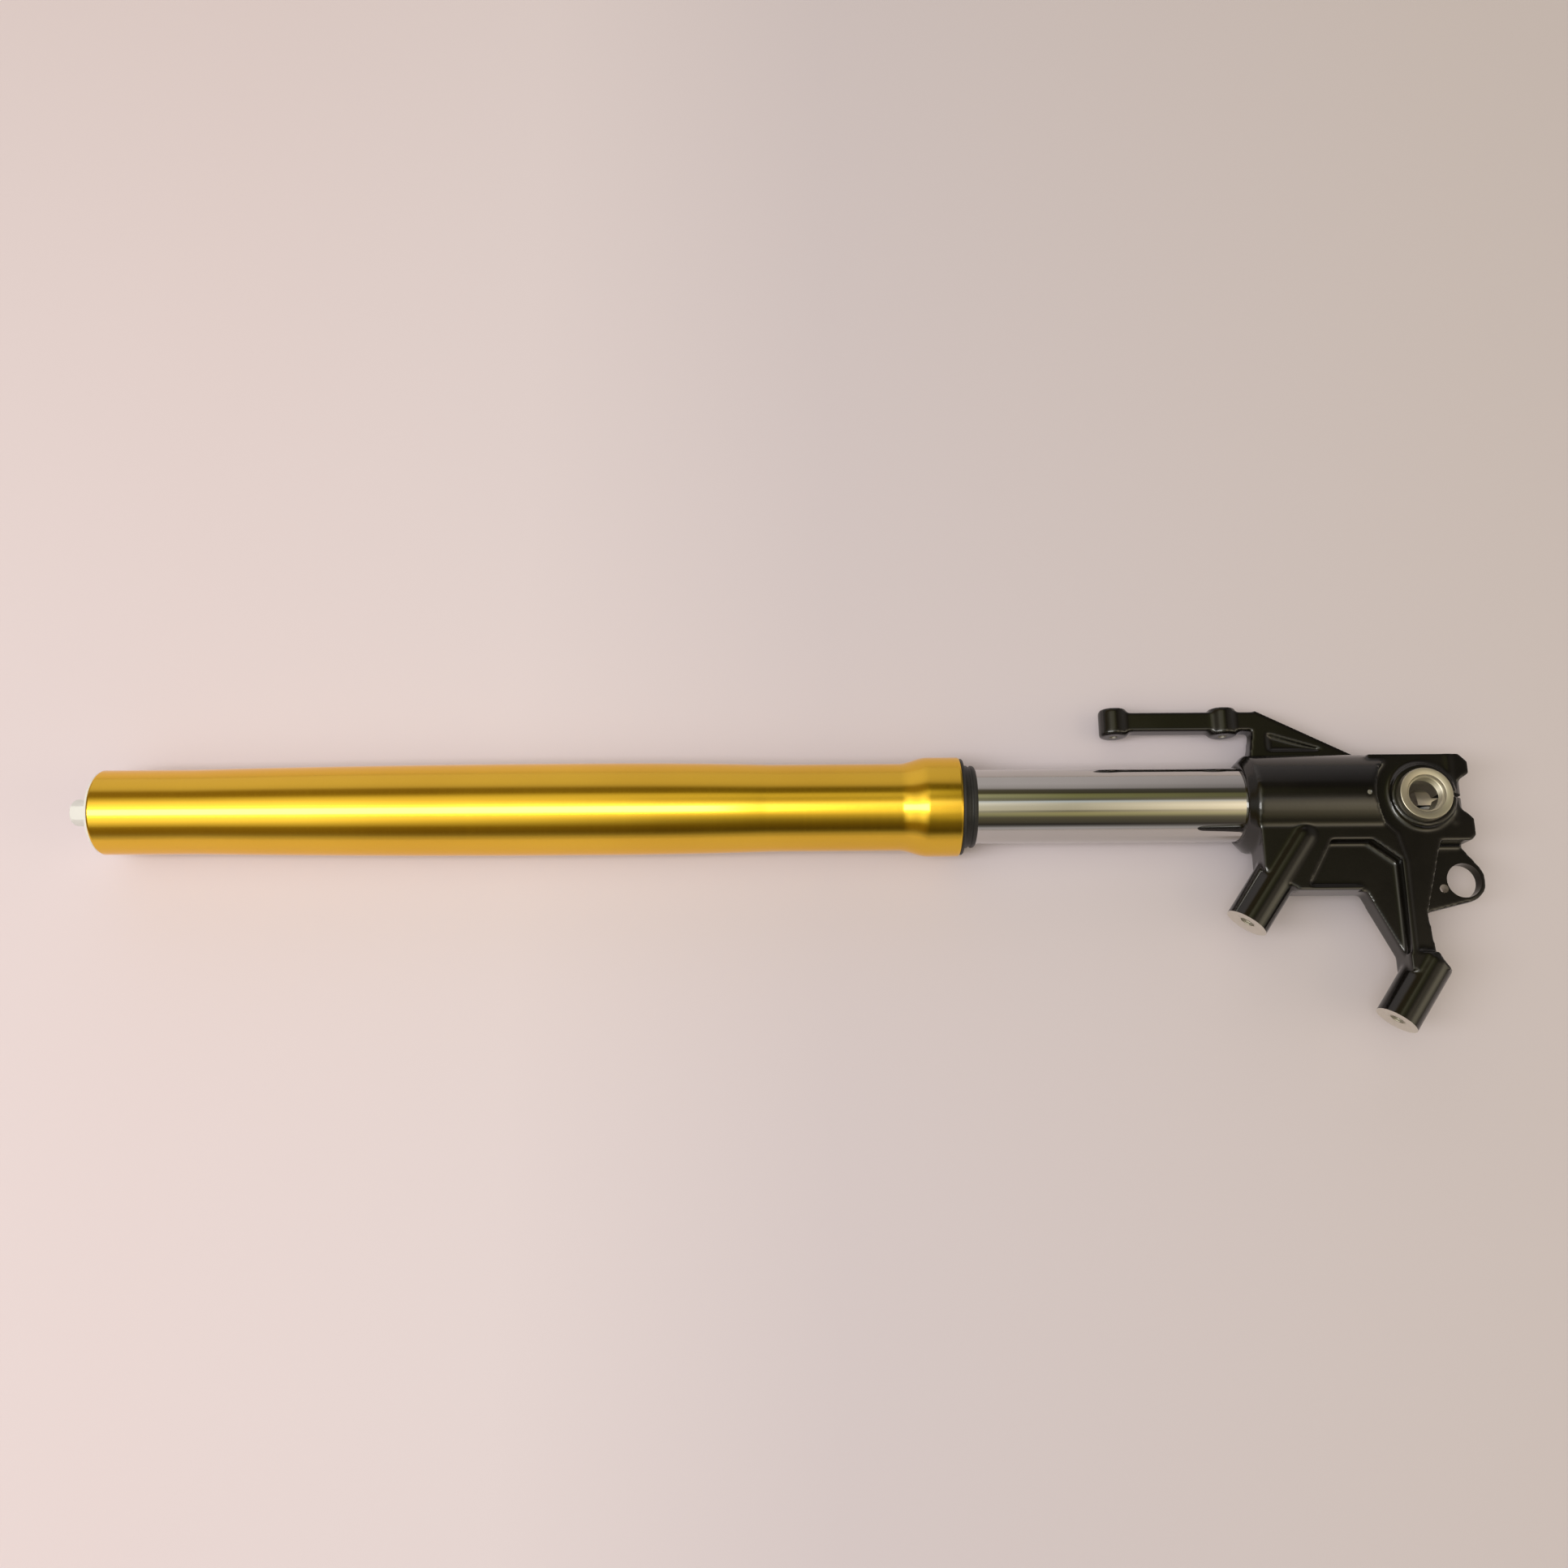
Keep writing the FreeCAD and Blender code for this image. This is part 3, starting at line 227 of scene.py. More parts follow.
def combine(piece, other, operation, **settings):
    """Joins, meets or cuts a piece with another mesh, which is used up."""
    finish_with(piece, "BOOLEAN", object=other, operation=operation, solver="EXACT", **settings)
    bpy.data.objects.remove(other)


def cut_away(piece, cutter):
    """Takes one solid out of a piece. The new faces keep the cutter's own finish."""
    combine(piece, cutter, "DIFFERENCE", material_mode="TRANSFER")


print("ready to turn, cut and join")

# %% [markdown]
# A finish is a small tree of shader nodes. Written as Python expressions it stays readable: a link is one socket,
# and adding or multiplying links adds the node that does it. Anything else comes from one method that takes the
# kind of node, its settings and what goes into its sockets. The same tree could be drawn in the shader editor.


# %% Shader expressions
class Link:
    """One output of a shader node, used like a number."""

    def __init__(self, finish, socket):
        self.finish = finish
        self.socket = socket

    def maths(self, operation, *values):
        return self.finish.node("Math", {"operation": operation}, dict(enumerate(values)))

    def __add__(self, other):
        return self.maths("ADD", self, other)

    def __sub__(self, other):
        return self.maths("SUBTRACT", self, other)

    def __rsub__(self, other):
        return self.maths("SUBTRACT", other, self)

    def __mul__(self, other):
        return self.maths("MULTIPLY", self, other)

    __radd__ = __add__
    __rmul__ = __mul__


print("a link adds, subtracts and multiplies")

# %% [markdown]
# One tree belongs to one shader. A constant sits on the shader's own socket, where it is easy to find and to
# change, and only what varies over the piece is fed by nodes.


# %% A shader and its tree
class Shading:
    """A tree of shader nodes with one shader, whose constants sit on its own sockets."""

    def __init__(self, owner, shader, constants):
        owner.use_nodes = True
        self.tree = owner.node_tree
        self.shader = self.tree.nodes[shader]
        for socket, worth in constants.items():
            self.shader.inputs[socket].default_value = worth

    def node(self, kind, settings=None, sockets=None, output=0):
        """Any shader node: its kind, its settings, and what its sockets get."""
        made = self.tree.nodes.new("ShaderNode" + kind)
        for setting, worth in (settings or {}).items():
            if setting == "stops":
                for place, shade in worth[2:]:
                    made.color_ramp.elements.new(place)
                for stop, (place, shade) in zip(made.color_ramp.elements, worth):
                    stop.position = place
                    stop.color = shade
            else:
                setattr(made, setting, worth)
        for socket, worth in (sockets or {}).items():
            if isinstance(worth, Link):
                self.tree.links.new(worth.socket, made.inputs[socket])
            else:
                made.inputs[socket].default_value = worth
        return Link(self, made.outputs[output])

    def give(self, socket, worth):
        """Feeds one socket of the shader."""
        self.tree.links.new(worth.socket, self.shader.inputs[socket])

    def ramp(self, value, stops):
        """A value looked up between stops of (place, colour)."""
        return self.node("ValToRGB", {"stops": stops}, {"Fac": value})

    def steps(self, value, low, high, to_low=0.0, to_high=1.0):
        """A value spread from one range to another."""
        sockets = {"Value": value, "From Min": low, "From Max": high, "To Min": to_low, "To Max": to_high}
        return self.node("MapRange", sockets=sockets)

    def blend(self, factor, first, second):
        """Two colours mixed by a factor."""
        return self.node("Mix", {"data_type": "RGBA"}, {0: factor, 6: first, 7: second}, output=2)

    def parts(self, vector):
        """The three parts of a vector."""
        return [self.node("SeparateXYZ", sockets={0: vector}, output=axis) for axis in "XYZ"]


print("one shader to a tree")

# %% [markdown]
# Metal and paint are never one flat value. Three patterns serve every finish of the leg: a grain that is stretched
# the way the tool went, fine rings where a lathe faced a disc, and a soft cloud for what handling and casting leave.
# All read the object's own coordinates, so a pattern stays on its piece when the leg moves.


# %% Patterns of a finish
GRAIN_ROUGHNESS = 0.55
BUMP_DEPTH = 0.0002


class Finish(Shading):
    """One material of the leg."""

    def __init__(self, name, constants):
        self.material = bpy.data.materials.new(name)
        super().__init__(self.material, "Principled BSDF", constants)

    def grain(self, scale, detail=3.0, stretch=(1, 1, 1)):
        """Noise of some size in grains per metre, stretched along the axes."""
        spot = self.node("TexCoord", output="Object")
        spot = self.node("Mapping", sockets={"Vector": spot, "Scale": stretch})
        sockets = {"Vector": spot, "Scale": scale, "Detail": detail, "Roughness": GRAIN_ROUGHNESS}
        return self.node("TexNoise", sockets=sockets)

    def lathe_marks(self, first, second, finest):
        """Fine rings about an axis, from the two object coordinates that are square to it."""
        spot = self.parts(self.node("TexCoord", output="Object"))
        away = spot[first] * spot[first] + spot[second] * spot[second]
        along = self.node("CombineXYZ", sockets={"X": away.maths("SQRT", away), "Y": spot[3 - first - second]})
        return self.node("TexNoise", sockets={"Vector": along, "Scale": finest, "Detail": 3.0})

    def bump(self, height, strength):
        """Raises the surface by a height, in the light only."""
        sockets = {"Height": height, "Strength": strength, "Distance": BUMP_DEPTH}
        self.give("Normal", self.node("Bump", sockets=sockets))


def grey(level, warm=0.0):
    """A grey with a little warmth, as a shader colour."""
    return (level * (1 + warm), level, level * (1 - warm), 1.0)


print("bumps are up to", BUMP_DEPTH, "m deep")

# %% [markdown]
# The outer tube is aluminium, turned, polished and gold anodised. Anodising is a clear dyed oxide on metal: the
# metal tints what it reflects, and the oxide adds a thin untinted gloss. The lathe leaves rings that are far too
# fine to see one by one, so they are only a stretched grain in roughness and bump.


# %% Gold anodised finish
GOLD_DEEP, GOLD_THIN = (0.80, 0.475, 0.014, 1), (0.86, 0.53, 0.020, 1)


def gold_anodised():
    finish = Finish("gold_anodised", {
        "Metallic": 1.0, "Specular Tint": (0.96, 0.74, 0.36, 1), "Coat Weight": 0.75, "Coat Roughness": 0.12,
        "Coat IOR": 1.55})
    rings = finish.grain(60.0, 4.0, stretch=(24.0, 0.35, 0.35))
    cloud = finish.grain(9.0, 2.0)
    shade = finish.steps(cloud, 0.3, 0.7)
    finish.give("Base Color", finish.blend(shade, GOLD_DEEP, GOLD_THIN))
    finish.give("Roughness", finish.steps(rings, 0.25, 0.75, 0.16, 0.21) + (cloud - 0.5) * 0.04)
    finish.bump(rings, 0.006)
    return finish.material


gold = gold_anodised()
print("finish", gold.name)

# %% [markdown]
# The inner tube is steel with hard chrome, ground and polished to a mirror so that the seals live long. The cap
# and the adjuster are clear anodised aluminium, and the bare faces of the casting are milled. Ground and milled
# metal has a stretched grain with its own scale, direction and roughness. The cap and the axle collar were faced on
# a lathe, so they get fine rings about their axes instead.


# %% Bright metal finishes
def bright_metal(name, colour, roughness, spread, stretch=None, scale=60.0, bump=0.05, patches=0.08, lathe=None):
    """Bare metal with a stretched grain, or with lathe marks about the axis square to two coordinates."""
    finish = Finish(name, {"Metallic": 1.0})
    lines = finish.lathe_marks(*lathe, scale) if lathe else finish.grain(scale, 4.0, stretch=stretch)
    cloud = finish.grain(25.0, 2.0)
    dull = tuple(part * (1 - patches) for part in colour) + (1,)
    finish.give("Base Color", finish.blend(finish.steps(cloud, 0.3, 0.7), dull, colour + (1,)))
    level = finish.steps(lines, 0.25, 0.75, roughness - spread, roughness + spread)
    finish.give("Roughness", level + (cloud - 0.5) * spread)
    finish.bump(lines, bump)
    return finish.material


chrome = bright_metal("hard_chrome", (0.57, 0.56, 0.545), 0.05, 0.015, (30.0, 0.3, 0.3), bump=0.004, patches=0.03)
cap_metal = bright_metal("cap_aluminium", (0.52, 0.50, 0.49), 0.18, 0.05, scale=1500.0, bump=0.12, lathe=(1, 2))
milled = bright_metal("machined_aluminium", (0.74, 0.71, 0.64), 0.42, 0.04, (6.0, 6.0, 20.0), bump=0.015)
turned_metal = bright_metal("turned_aluminium", (0.58, 0.54, 0.44), 0.42, 0.04, scale=1500.0, bump=0.04,
                            lathe=(0, 1))
zinc = bright_metal("zinc_steel", (0.60, 0.60, 0.59), 0.34, 0.06, (8.0, 8.0, 8.0), bump=0.1, patches=0.15)
rod_metal = bright_metal("rod_chrome", (0.72, 0.72, 0.71), 0.12, 0.03, (30.0, 0.4, 0.4))
spring_metal = bright_metal("spring_steel", (0.30, 0.30, 0.31), 0.42, 0.06, (10.0, 10.0, 10.0), bump=0.2)
bronze = bright_metal("bush_bronze", (0.42, 0.30, 0.16), 0.4, 0.06, (20.0, 1.0, 1.0), bump=0.1)
copper = bright_metal("copper", (0.80, 0.40, 0.24), 0.33, 0.05, (12.0, 1.0, 1.0), bump=0.1)
print("metals from", chrome.name, "to", copper.name)

# %% [markdown]
# The casting is painted satin black over sand-cast aluminium. The paint softens the sand's grain to a faint
# orange peel, gathers in hollows and wears thin nowhere on a new part, so it needs a fine bump, a slow change of
# gloss and no scratches.


# %% Black finishes
BLACK_DEEP, BLACK_PALE = grey(0.0028, 0.18), grey(0.0042, 0.24)


def black_paint(name, level, roughness):
    """Satin black paint. A low level of reflection is for places that the light hardly reaches."""
    finish = Finish(name, {"Specular IOR Level": level})
    peel = finish.grain(420.0, 3.0)
    cloud = finish.grain(30.0, 3.0)
    finish.give("Base Color", finish.blend(finish.steps(cloud, 0.3, 0.7), BLACK_DEEP, BLACK_PALE))
    finish.give("Roughness", finish.steps(cloud, 0.3, 0.7, roughness, roughness + 0.05) + (peel - 0.5) * 0.05)
    finish.bump(peel, 0.07)
    return finish.material


def rubber(name, level, roughness):
    """Moulded rubber or plastic with a little dust on it."""
    finish = Finish(name, {"Specular IOR Level": 0.4})
    skin = finish.grain(900.0, 3.0)
    dust = finish.grain(60.0, 4.0)
    finish.give("Base Color", finish.blend(finish.steps(dust, 0.45, 0.8), grey(level), grey(level * 1.9, 0.05)))
    finish.give("Roughness", finish.steps(dust, 0.3, 0.7, roughness - 0.07, roughness + 0.07))
    finish.bump(skin, 0.15)
    return finish.material


paint = black_paint("cast_black", 0.65, 0.13)
thin_paint = black_paint("thin_black", 0.2, 0.6)
seal_rubber = rubber("black_rubber", 0.016, 0.5)
slide_plastic = rubber("ring_plastic", 0.12, 0.55)
print("painted", paint.name, thin_paint.name, "and moulded", seal_rubber.name, slide_plastic.name)

# %% [markdown]
# Every node of the model gets its finish before any new piece is made. The nodes that stay hidden inside the
# tubes keep their solids and only need this. A piece that is modelled again rides the body of its node, takes the
# slot of its material and hides the node, which keeps its place in the motion model.

# %% Finishes of the loaded nodes
FINISH_OF = {
    "gold_anodised": gold, "cap_aluminium": cap_metal, "hard_chrome": chrome, "cast_black": paint,
    "machined_aluminium": milled, "zinc_steel": zinc, "rod_chrome": rod_metal, "spring_steel": spring_metal,
    "black_rubber": seal_rubber, "bush_bronze": bronze, "copper": copper, "ring_plastic": slide_plastic,
}
for part in frame["record"]["subparts"]:
    mesh = nodes[part["node"]].data
    mesh.materials.clear()
    mesh.materials.append(FINISH_OF[part["material_slot"]])


def stands_for(piece, body, slot, *node_names):
    """A new piece rides its body, takes a slot and stands for the nodes that it replaces."""
    if not piece.data.materials:
        piece.data.materials.append(FINISH_OF[slot])
    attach(piece, body)
    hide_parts(*node_names)
    print(piece.name, "triangles", sum(len(face.vertices) - 2 for face in piece.data.polygons))


# %% [markdown]
# The outer tube is the piece that the eye goes to. It is straight where the upper clamp grips it, swells slowly
# to the lower clamp, tapers again and ends in a flared seal housing. The swell is two shallow arcs and the flare
# is an S, with a fine chamfer at each end. The seal bore is turned into the same section.

# %% Outer tube
TUBE_TOP, TUBE_END = -793.6, -274.4
UPPER_RADIUS, SWELL_RADIUS, LOWER_RADIUS, FLARE_RADIUS = 25.75, 28.0, 26.5, 30.19


def arc_radius(start, end):
    """The radius of an arc that starts level and reaches the other corner."""
    run, drop = abs(end[0] - start[0]), abs(end[1] - start[1])
    return (run ** 2 + drop ** 2) / (2 * drop)


tube_section = [(TUBE_TOP, 23.5), (TUBE_TOP, UPPER_RADIUS - 1.1), (TUBE_TOP + 0.25, UPPER_RADIUS - 0.5),
                (TUBE_TOP + 1.1, UPPER_RADIUS), (TUBE_TOP + 1.6, UPPER_RADIUS), (TUBE_TOP + 3.0, UPPER_RADIUS)]
upper_end = (-737.0, UPPER_RADIUS)
swell_start = (-522.0, SWELL_RADIUS)
swell_end = (-490.0, SWELL_RADIUS)
taper_end = (-389.0, LOWER_RADIUS)
tube_section += [upper_end] + along_arc(upper_end, swell_start, arc_radius(upper_end, swell_start), 30)
tube_section += [swell_end] + along_arc(swell_end, taper_end, arc_radius(swell_end, taper_end), 20)
tube_section += [(-310.5, LOWER_RADIUS)] + along_bend((-310.5, LOWER_RADIUS), (-293.5, FLARE_RADIUS), 16)
tube_section += [(TUBE_END - 2.6, FLARE_RADIUS), (TUBE_END - 1.4, FLARE_RADIUS), (TUBE_END - 0.9, FLARE_RADIUS),
                 (TUBE_END - 0.25, FLARE_RADIUS - 0.35), (TUBE_END, FLARE_RADIUS - 0.9), (TUBE_END, 27.5),
                 (-298.0, 27.5), (-298.0, 24.5), (-318.0, 24.5), (-318.0, 23.5)]
outer_tube = turned("gold_tube", tube_section, 192)
stands_for(outer_tube, "fork_upper", "gold_anodised", "outer_tube")

# %% [markdown]
# The inner tube slides inside the seals. It has no features outside, so its section is a plain wall with a small
# lead-in at its top and the seat of the slide bush.

# %% Inner tube
inner_section = [(-450.0, 20.25), (-450.0, 22.1), (-449.5, 22.5), (-448.5, 22.5), (-448.5, 21.9),
                 (-436.5, 21.9), (-436.5, 22.5), (-260.0, 22.5), (-180.0, 22.5), (-100.0, 22.5),
                 (-31.0, 22.5), (-31.0, 20.25)]
inner_tube = turned("chromed_tube", inner_section, 192)
stands_for(inner_tube, "fork_lower", "hard_chrome", "inner_tube")

# %% [markdown]
# The dust seal is moulded rubber pressed into the flare. A broad flange closes the joint, and a lip hugs the
# inner tube, held by a thin spring in an outer groove. A spun section with rounded corners makes all of it.

# %% Dust seal
seal_section = [
    (-282.0, 24.15), (-282.0, 27.4), (-274.3, 27.4), (-274.3, 28.9), (-273.9, 29.2), (-272.9, 29.2),
    (-272.5, 28.9), (-272.4, 26.2), (-272.1, 25.5), (-271.2, 25.2), (-269.6, 25.0), (-269.2, 24.6),
    (-268.8, 24.35), (-268.2, 24.35), (-267.8, 24.6), (-267.4, 25.0), (-266.4, 25.0), (-265.6, 24.6),
    (-265.0, 23.8), (-265.0, 22.75), (-265.4, 22.55), (-266.6, 22.55), (-268.2, 24.15),
]
dust_seal = turned("dust_lip_seal", seal_section, 128)
stands_for(dust_seal, "fork_upper", "black_rubber", "dust_seal")

# %% [markdown]
# The cap screws into the tube. Only its thin bright flange and the hexagon of the adjuster show from above, but
# the end view shows the turned face around the hexagon. Two windows are milled through its cage for the cross
# plate that carries the spring.

# %% Top cap
cap_section = [
    (-795.0, 9.2), (-795.0, 21.4), (-794.7, 21.7), (-794.7, 22.5), (-795.0, 22.8), (-795.0, 24.2),
    (-794.8, 24.65), (-794.35, 24.9), (-793.6, 24.9), (-793.6, 23.45), (-782.4, 23.45), (-782.4, 20.9),
    (-779.8, 20.9), (-779.8, 23.45), (-777.6, 23.45), (-777.6, 13.0), (-741.6, 13.0), (-741.6, 6.0),
    (-752.0, 6.0), (-752.0, 7.55), (-789.0, 7.55), (-789.0, 8.9), (-794.7, 8.9),
]
fork_cap = turned("turned_cap", cap_section, 128)
cut_away(fork_cap, block("window", (-775.6, -19, -4.8), (-752.0, 19, 4.8)))
stands_for(smooth(fork_cap), "fork_upper", "cap_aluminium", "fork_cap")

# %% [markdown]
# The preload adjuster is a hexagon on a round shank. Its corners are rounded by a turned cone, as on any bolt
# head, and the rebound screw sits in a bore in its middle. The hexagon and the cone are common to both, so an
# intersection makes them, and a fine bevel catches the light along its edges.

# %% Preload adjuster
HEXAGON_FLATS = 14.0
HEXAGON_TURN = math.radians(-16)


def over_corners(flats):
    """The radius of the circle through a hexagon's corners, from its width across flats."""
    return flats / 2 / math.cos(math.radians(30))


hexagon = cylinder("hexagon", over_corners(HEXAGON_FLATS), (-812.2, 0, 0), (-801.2, 0, 0), 6)
hexagon.rotation_euler = (HEXAGON_TURN, 0, 0)
settle("hexagon")
rounding = turned("rounding", [(-812.2, 0.01), (-812.2, 6.6), (-811.2, 7.6), (-810.2, 8.2), (-801.2, 8.2),
                               (-801.2, 0.01)], 96)
combine(hexagon, rounding, "INTERSECT")
combine(hexagon, cylinder("shank", 7.5, (-801.4, 0, 0), (-772.6, 0, 0)), "UNION")
cut_away(hexagon, cylinder("bore", 3.05, (-813.0, 0, 0), (-772.0, 0, 0), 64))
cut_away(hexagon, cylinder("mouth", 4.4, (-812.5, 0, 0), (-811.2, 0, 0), 64, narrow=3.0))
finish_with(hexagon, "BEVEL", width=0.00018, segments=2, limit_method="ANGLE", angle_limit=math.radians(35))
hexagon.name = "hexagon_adjuster"
stands_for(smooth(hexagon), "preload_bolt", "cap_aluminium", "preload_adjuster")

# %% [markdown]
# The axle collar is a turned ring in the spot face of the casting. It has a broad flat face, a chamfered mouth
# and a fine thread in its bore. The thread is a row of V grooves in the section: at this size a true helix looks
# the same.


# %% Axle collar
def thread_teeth(start, end, root, crest, pitch):
    """Corners of V grooves between two places along a section."""
    count = max(1, round(abs(end - start) / pitch))
    step = (end - start) / count
    corners = []
    for turn in range(count):
        corners.append((start + step * (turn + 0.1), crest))
        corners.append((start + step * (turn + 0.5), root))
        corners.append((start + step * (turn + 0.9), crest))
    return corners


collar_section = [(17.7, 16.1), (24.4, 16.1), (24.8, 15.9), (25.8, 15.6), (26.0, 15.3), (26.0, 12.0), (25.8, 11.6),
                  (24.6, 10.9), (24.4, 10.7), (24.4, 10.35)]
collar_section += thread_teeth(24.3, 18.3, 10.7, 10.0, 1.5)
collar_section += [(17.7, 10.3)]
axle_collar = turned("axle_ring", collar_section, 128, upright=True)
axle_collar.data.materials.append(turned_metal)
stands_for(axle_collar, "fork_lower", "machined_aluminium", "axle_collar")

# %% [markdown]
# The casting is the hard piece. Its solid is right in form but has knife edges and exact bores, and a real casting
# is soft at its edges and crisp only where it was machined. So its holes are filled, the whole is remeshed and
# smoothed until the edges are round, and the machined faces and bores are then cut back into it with cutters that
# carry the bare metal or the paint.

# %% Copy of a solid
LOOSE_CORNERS = 0.000005


def merged_copy(node_name, name):
    """A copy of a node with its loose triangles merged and without the node's own marks."""
    piece = nodes[node_name].copy()
    piece.data = piece.data.copy()
    piece.name = name
    bpy.context.scene.collection.objects.link(piece)
    piece.parent = None
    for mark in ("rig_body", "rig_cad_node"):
        del piece[mark]
    take(piece)
    bpy.ops.object.mode_set(mode="EDIT")
    bpy.ops.mesh.select_all(action="SELECT")
    bpy.ops.mesh.remove_doubles(threshold=LOOSE_CORNERS)
    bpy.ops.object.mode_set(mode="OBJECT")
    return piece


def upright(name, radius, place, low, high, vertices=96):
    """A bar along Z at an (x, y) place."""
    return cylinder(name, radius, (*place, low), (*place, high), vertices)


def crosswise(name, radius, x, level, near, far, vertices=96):
    """A bar along Y at a place along the leg and a level."""
    return cylinder(name, radius, (x, near, level), (x, far, level), vertices)


casting = merged_copy("axle_casting", "casting")
print("corners of the solid", len(casting.data.vertices))

# %% [markdown]
# On the solid, the round seat of the collar leaves a thin wedge at the corner of the web, where a milling cutter
# would leave none, so the wedge comes off first. Every hole is then filled by a bar a little wider than itself.
# Voxels of one millimetre round an edge by about as much, which is what sand does.

# %% Casting blank with rounded edges
POST_TILT = math.radians(35.0)
POST_OUT = Vector((-math.sin(POST_TILT), -math.cos(POST_TILT), 0))
POST_SPACING = 100.0
POST_X, POST_Y, POST_LEVEL = -109.0, -74.8, 13.0
POST_ENDS = [Vector((POST_X + along * math.cos(POST_TILT), POST_Y - along * math.sin(POST_TILT), POST_LEVEL))
             for along in (0.0, POST_SPACING)]
AXLE, LOCK_SCREW, EAR_BORE, EAR_SCREW = (0, 0), (-35.4, 0), (26.8, -48.2), (14.1, -53.1)
PINCH_X, PINCH_LEVELS = 17.6, (13.0, -16.0)
ARM_BOSSES, ARM_LEVEL = (-174.0, -106.0), -12.0
SAND_GRAIN = 0.001

cut_away(casting, block("spur", (-18.4, -27.3, 20.0), (-12.0, -23.0, 25.0)))
plugs = [
    cylinder("plug", 23.4, (-104.5, 0, 0), (-30.5, 0, 0)),
    cylinder("plug", 9.3, (-26.0, 0, 0), (24.6, 0, 0)),
    upright("plug", 17.0, AXLE, -30.4, 22.4),
    upright("plug", 2.0, LOCK_SCREW, 20.0, 29.4),
    upright("plug", 11.6, EAR_BORE, -5.0, 3.0),
    upright("plug", 3.4, EAR_SCREW, -5.0, 3.0),
    block("plug", (4.0, -2.0, -27.5), (20.9, 2.0, 19.9)),
]
for level, far in zip(PINCH_LEVELS, (25.9, 23.9)):
    plugs.append(crosswise("plug", 7.4, PINCH_X, level, -16.5, far))
for x in ARM_BOSSES:
    plugs.append(crosswise("plug", 4.0, x, ARM_LEVEL, 47.2, 64.0))
for end in POST_ENDS:
    plugs.append(cylinder("plug", 12.5, end - POST_OUT * 30, end + POST_OUT * 4))
casting = joined("casting", [casting] + plugs)
finish_with(casting, "REMESH", mode="VOXEL", voxel_size=SAND_GRAIN)
finish_with(casting, "SMOOTH", factor=0.5, iterations=8)
casting.data.materials.clear()
casting.data.materials.append(paint)
print("blank quads", len(casting.data.polygons))

# %% [markdown]
# The machined places come back as cutters. The ends of the caliper posts are milled flat to bare metal and hold a
# thread. The bores that were drilled after painting are bare too, and the slit of the clamp is sawn.


# %% Machined faces and bores
def bare(cutter, finish=milled):
    """Gives a cutter the milled finish, so that it leaves bare metal."""
    cutter.data.materials.clear()
    cutter.data.materials.append(finish)
    return cutter


def painted(cutter):
    """Gives a cutter the paint, for places that were cut before painting."""
    return bare(cutter, paint)


def threaded(name, mouth, inwards, depth, core, root, pitch):
    """A cutter for a threaded hole: a ridged bar with a flared mouth."""
    section = [(-2.0, 0.01), (-2.0, root + 1.2), (0.0, root + 1.0), (0.9, core)]
    section += thread_teeth(1.0, depth - 1.0, root, core, pitch) + [(depth, core), (depth + 2.2, 0.01)]
    cutter = turned(name, section, 56)
    cutter.rotation_euler = Vector(inwards).to_track_quat("X", "Z").to_euler()
    cutter.location = Vector(mouth) * MM
    return settle(name)


for end in POST_ENDS:
    cut_away(casting, bare(cylinder("face", 15.0, end, end + POST_OUT * 8, 48)))
    cut_away(casting, bare(threaded("thread", end, -POST_OUT, 25.0, 4.35, 5.0, 1.25)))
cut_away(casting, painted(cylinder("socket", 22.52, (-110.0, 0, 0), (-31.0, 0, 0), 160)))
cut_away(casting, bare(upright("collar_seat", 16.12, AXLE, 17.6, 27.0, 128)))
cut_away(casting, bare(upright("axle_bore", 10.0, AXLE, -34.0, 18.0, 128)))
cut_away(casting, bare(cylinder("key_hole", 8.8, (-25.0, 0, 0), (30.0, 0, 0))))
cut_away(casting, bare(cylinder("bolt_hole", 5.3, (-32.0, 0, 0), (-24.0, 0, 0), 64)))
cut_away(casting, bare(block("slit", (5.0, -1.2, -34.0), (34.0, 1.2, 24.0)), thin_paint))
cut_away(casting, painted(upright("ear_bore", 10.4, EAR_BORE, -8.0, 6.0)))
cut_away(casting, bare(upright("ear_screw", 2.6, EAR_SCREW, -8.0, 6.0, 48)))
cut_away(casting, painted(upright("lock_bore", 1.4, LOCK_SCREW, 20.0, 33.0, 40)))
for level in PINCH_LEVELS:
    cut_away(casting, bare(crosswise("pinch_bore", 4.05, PINCH_X, level, -17.0, 20.0, 48)))
    cut_away(casting, bare(crosswise("pinch_seat", 6.8, PINCH_X, level, 13.0, 32.0, 64)))
cut_away(casting, block("boss_ends", (-190.0, 64.05, -30.0), (-90.0, 70.0, 5.0)))
for x in ARM_BOSSES:
    cut_away(casting, bare(crosswise("arm_hole", 2.6, x, ARM_LEVEL, 44.0, 68.0, 40)))
stands_for(smooth(casting, 38), "fork_lower", "cast_black", "axle_casting")

# %% [markdown]
# The main spring sits inside both tubes. Its node is a helix, and a merged copy of it is cut in two across the
# axis, because two things press on it: the adjuster from above and the stroke from below. The few coils under the
# upper seat ride the preload carrier and go down with the seat, and the long rest rides the outer tube.

# %% Main spring
SPRING_TOP, SPRING_CUT, SPRING_FOOT = -714.6, -658.6, -432.6
SPRING_GAP = 0.05
SPRING_CLEAR = 25.0
helix = merged_copy("main_spring", "helix")


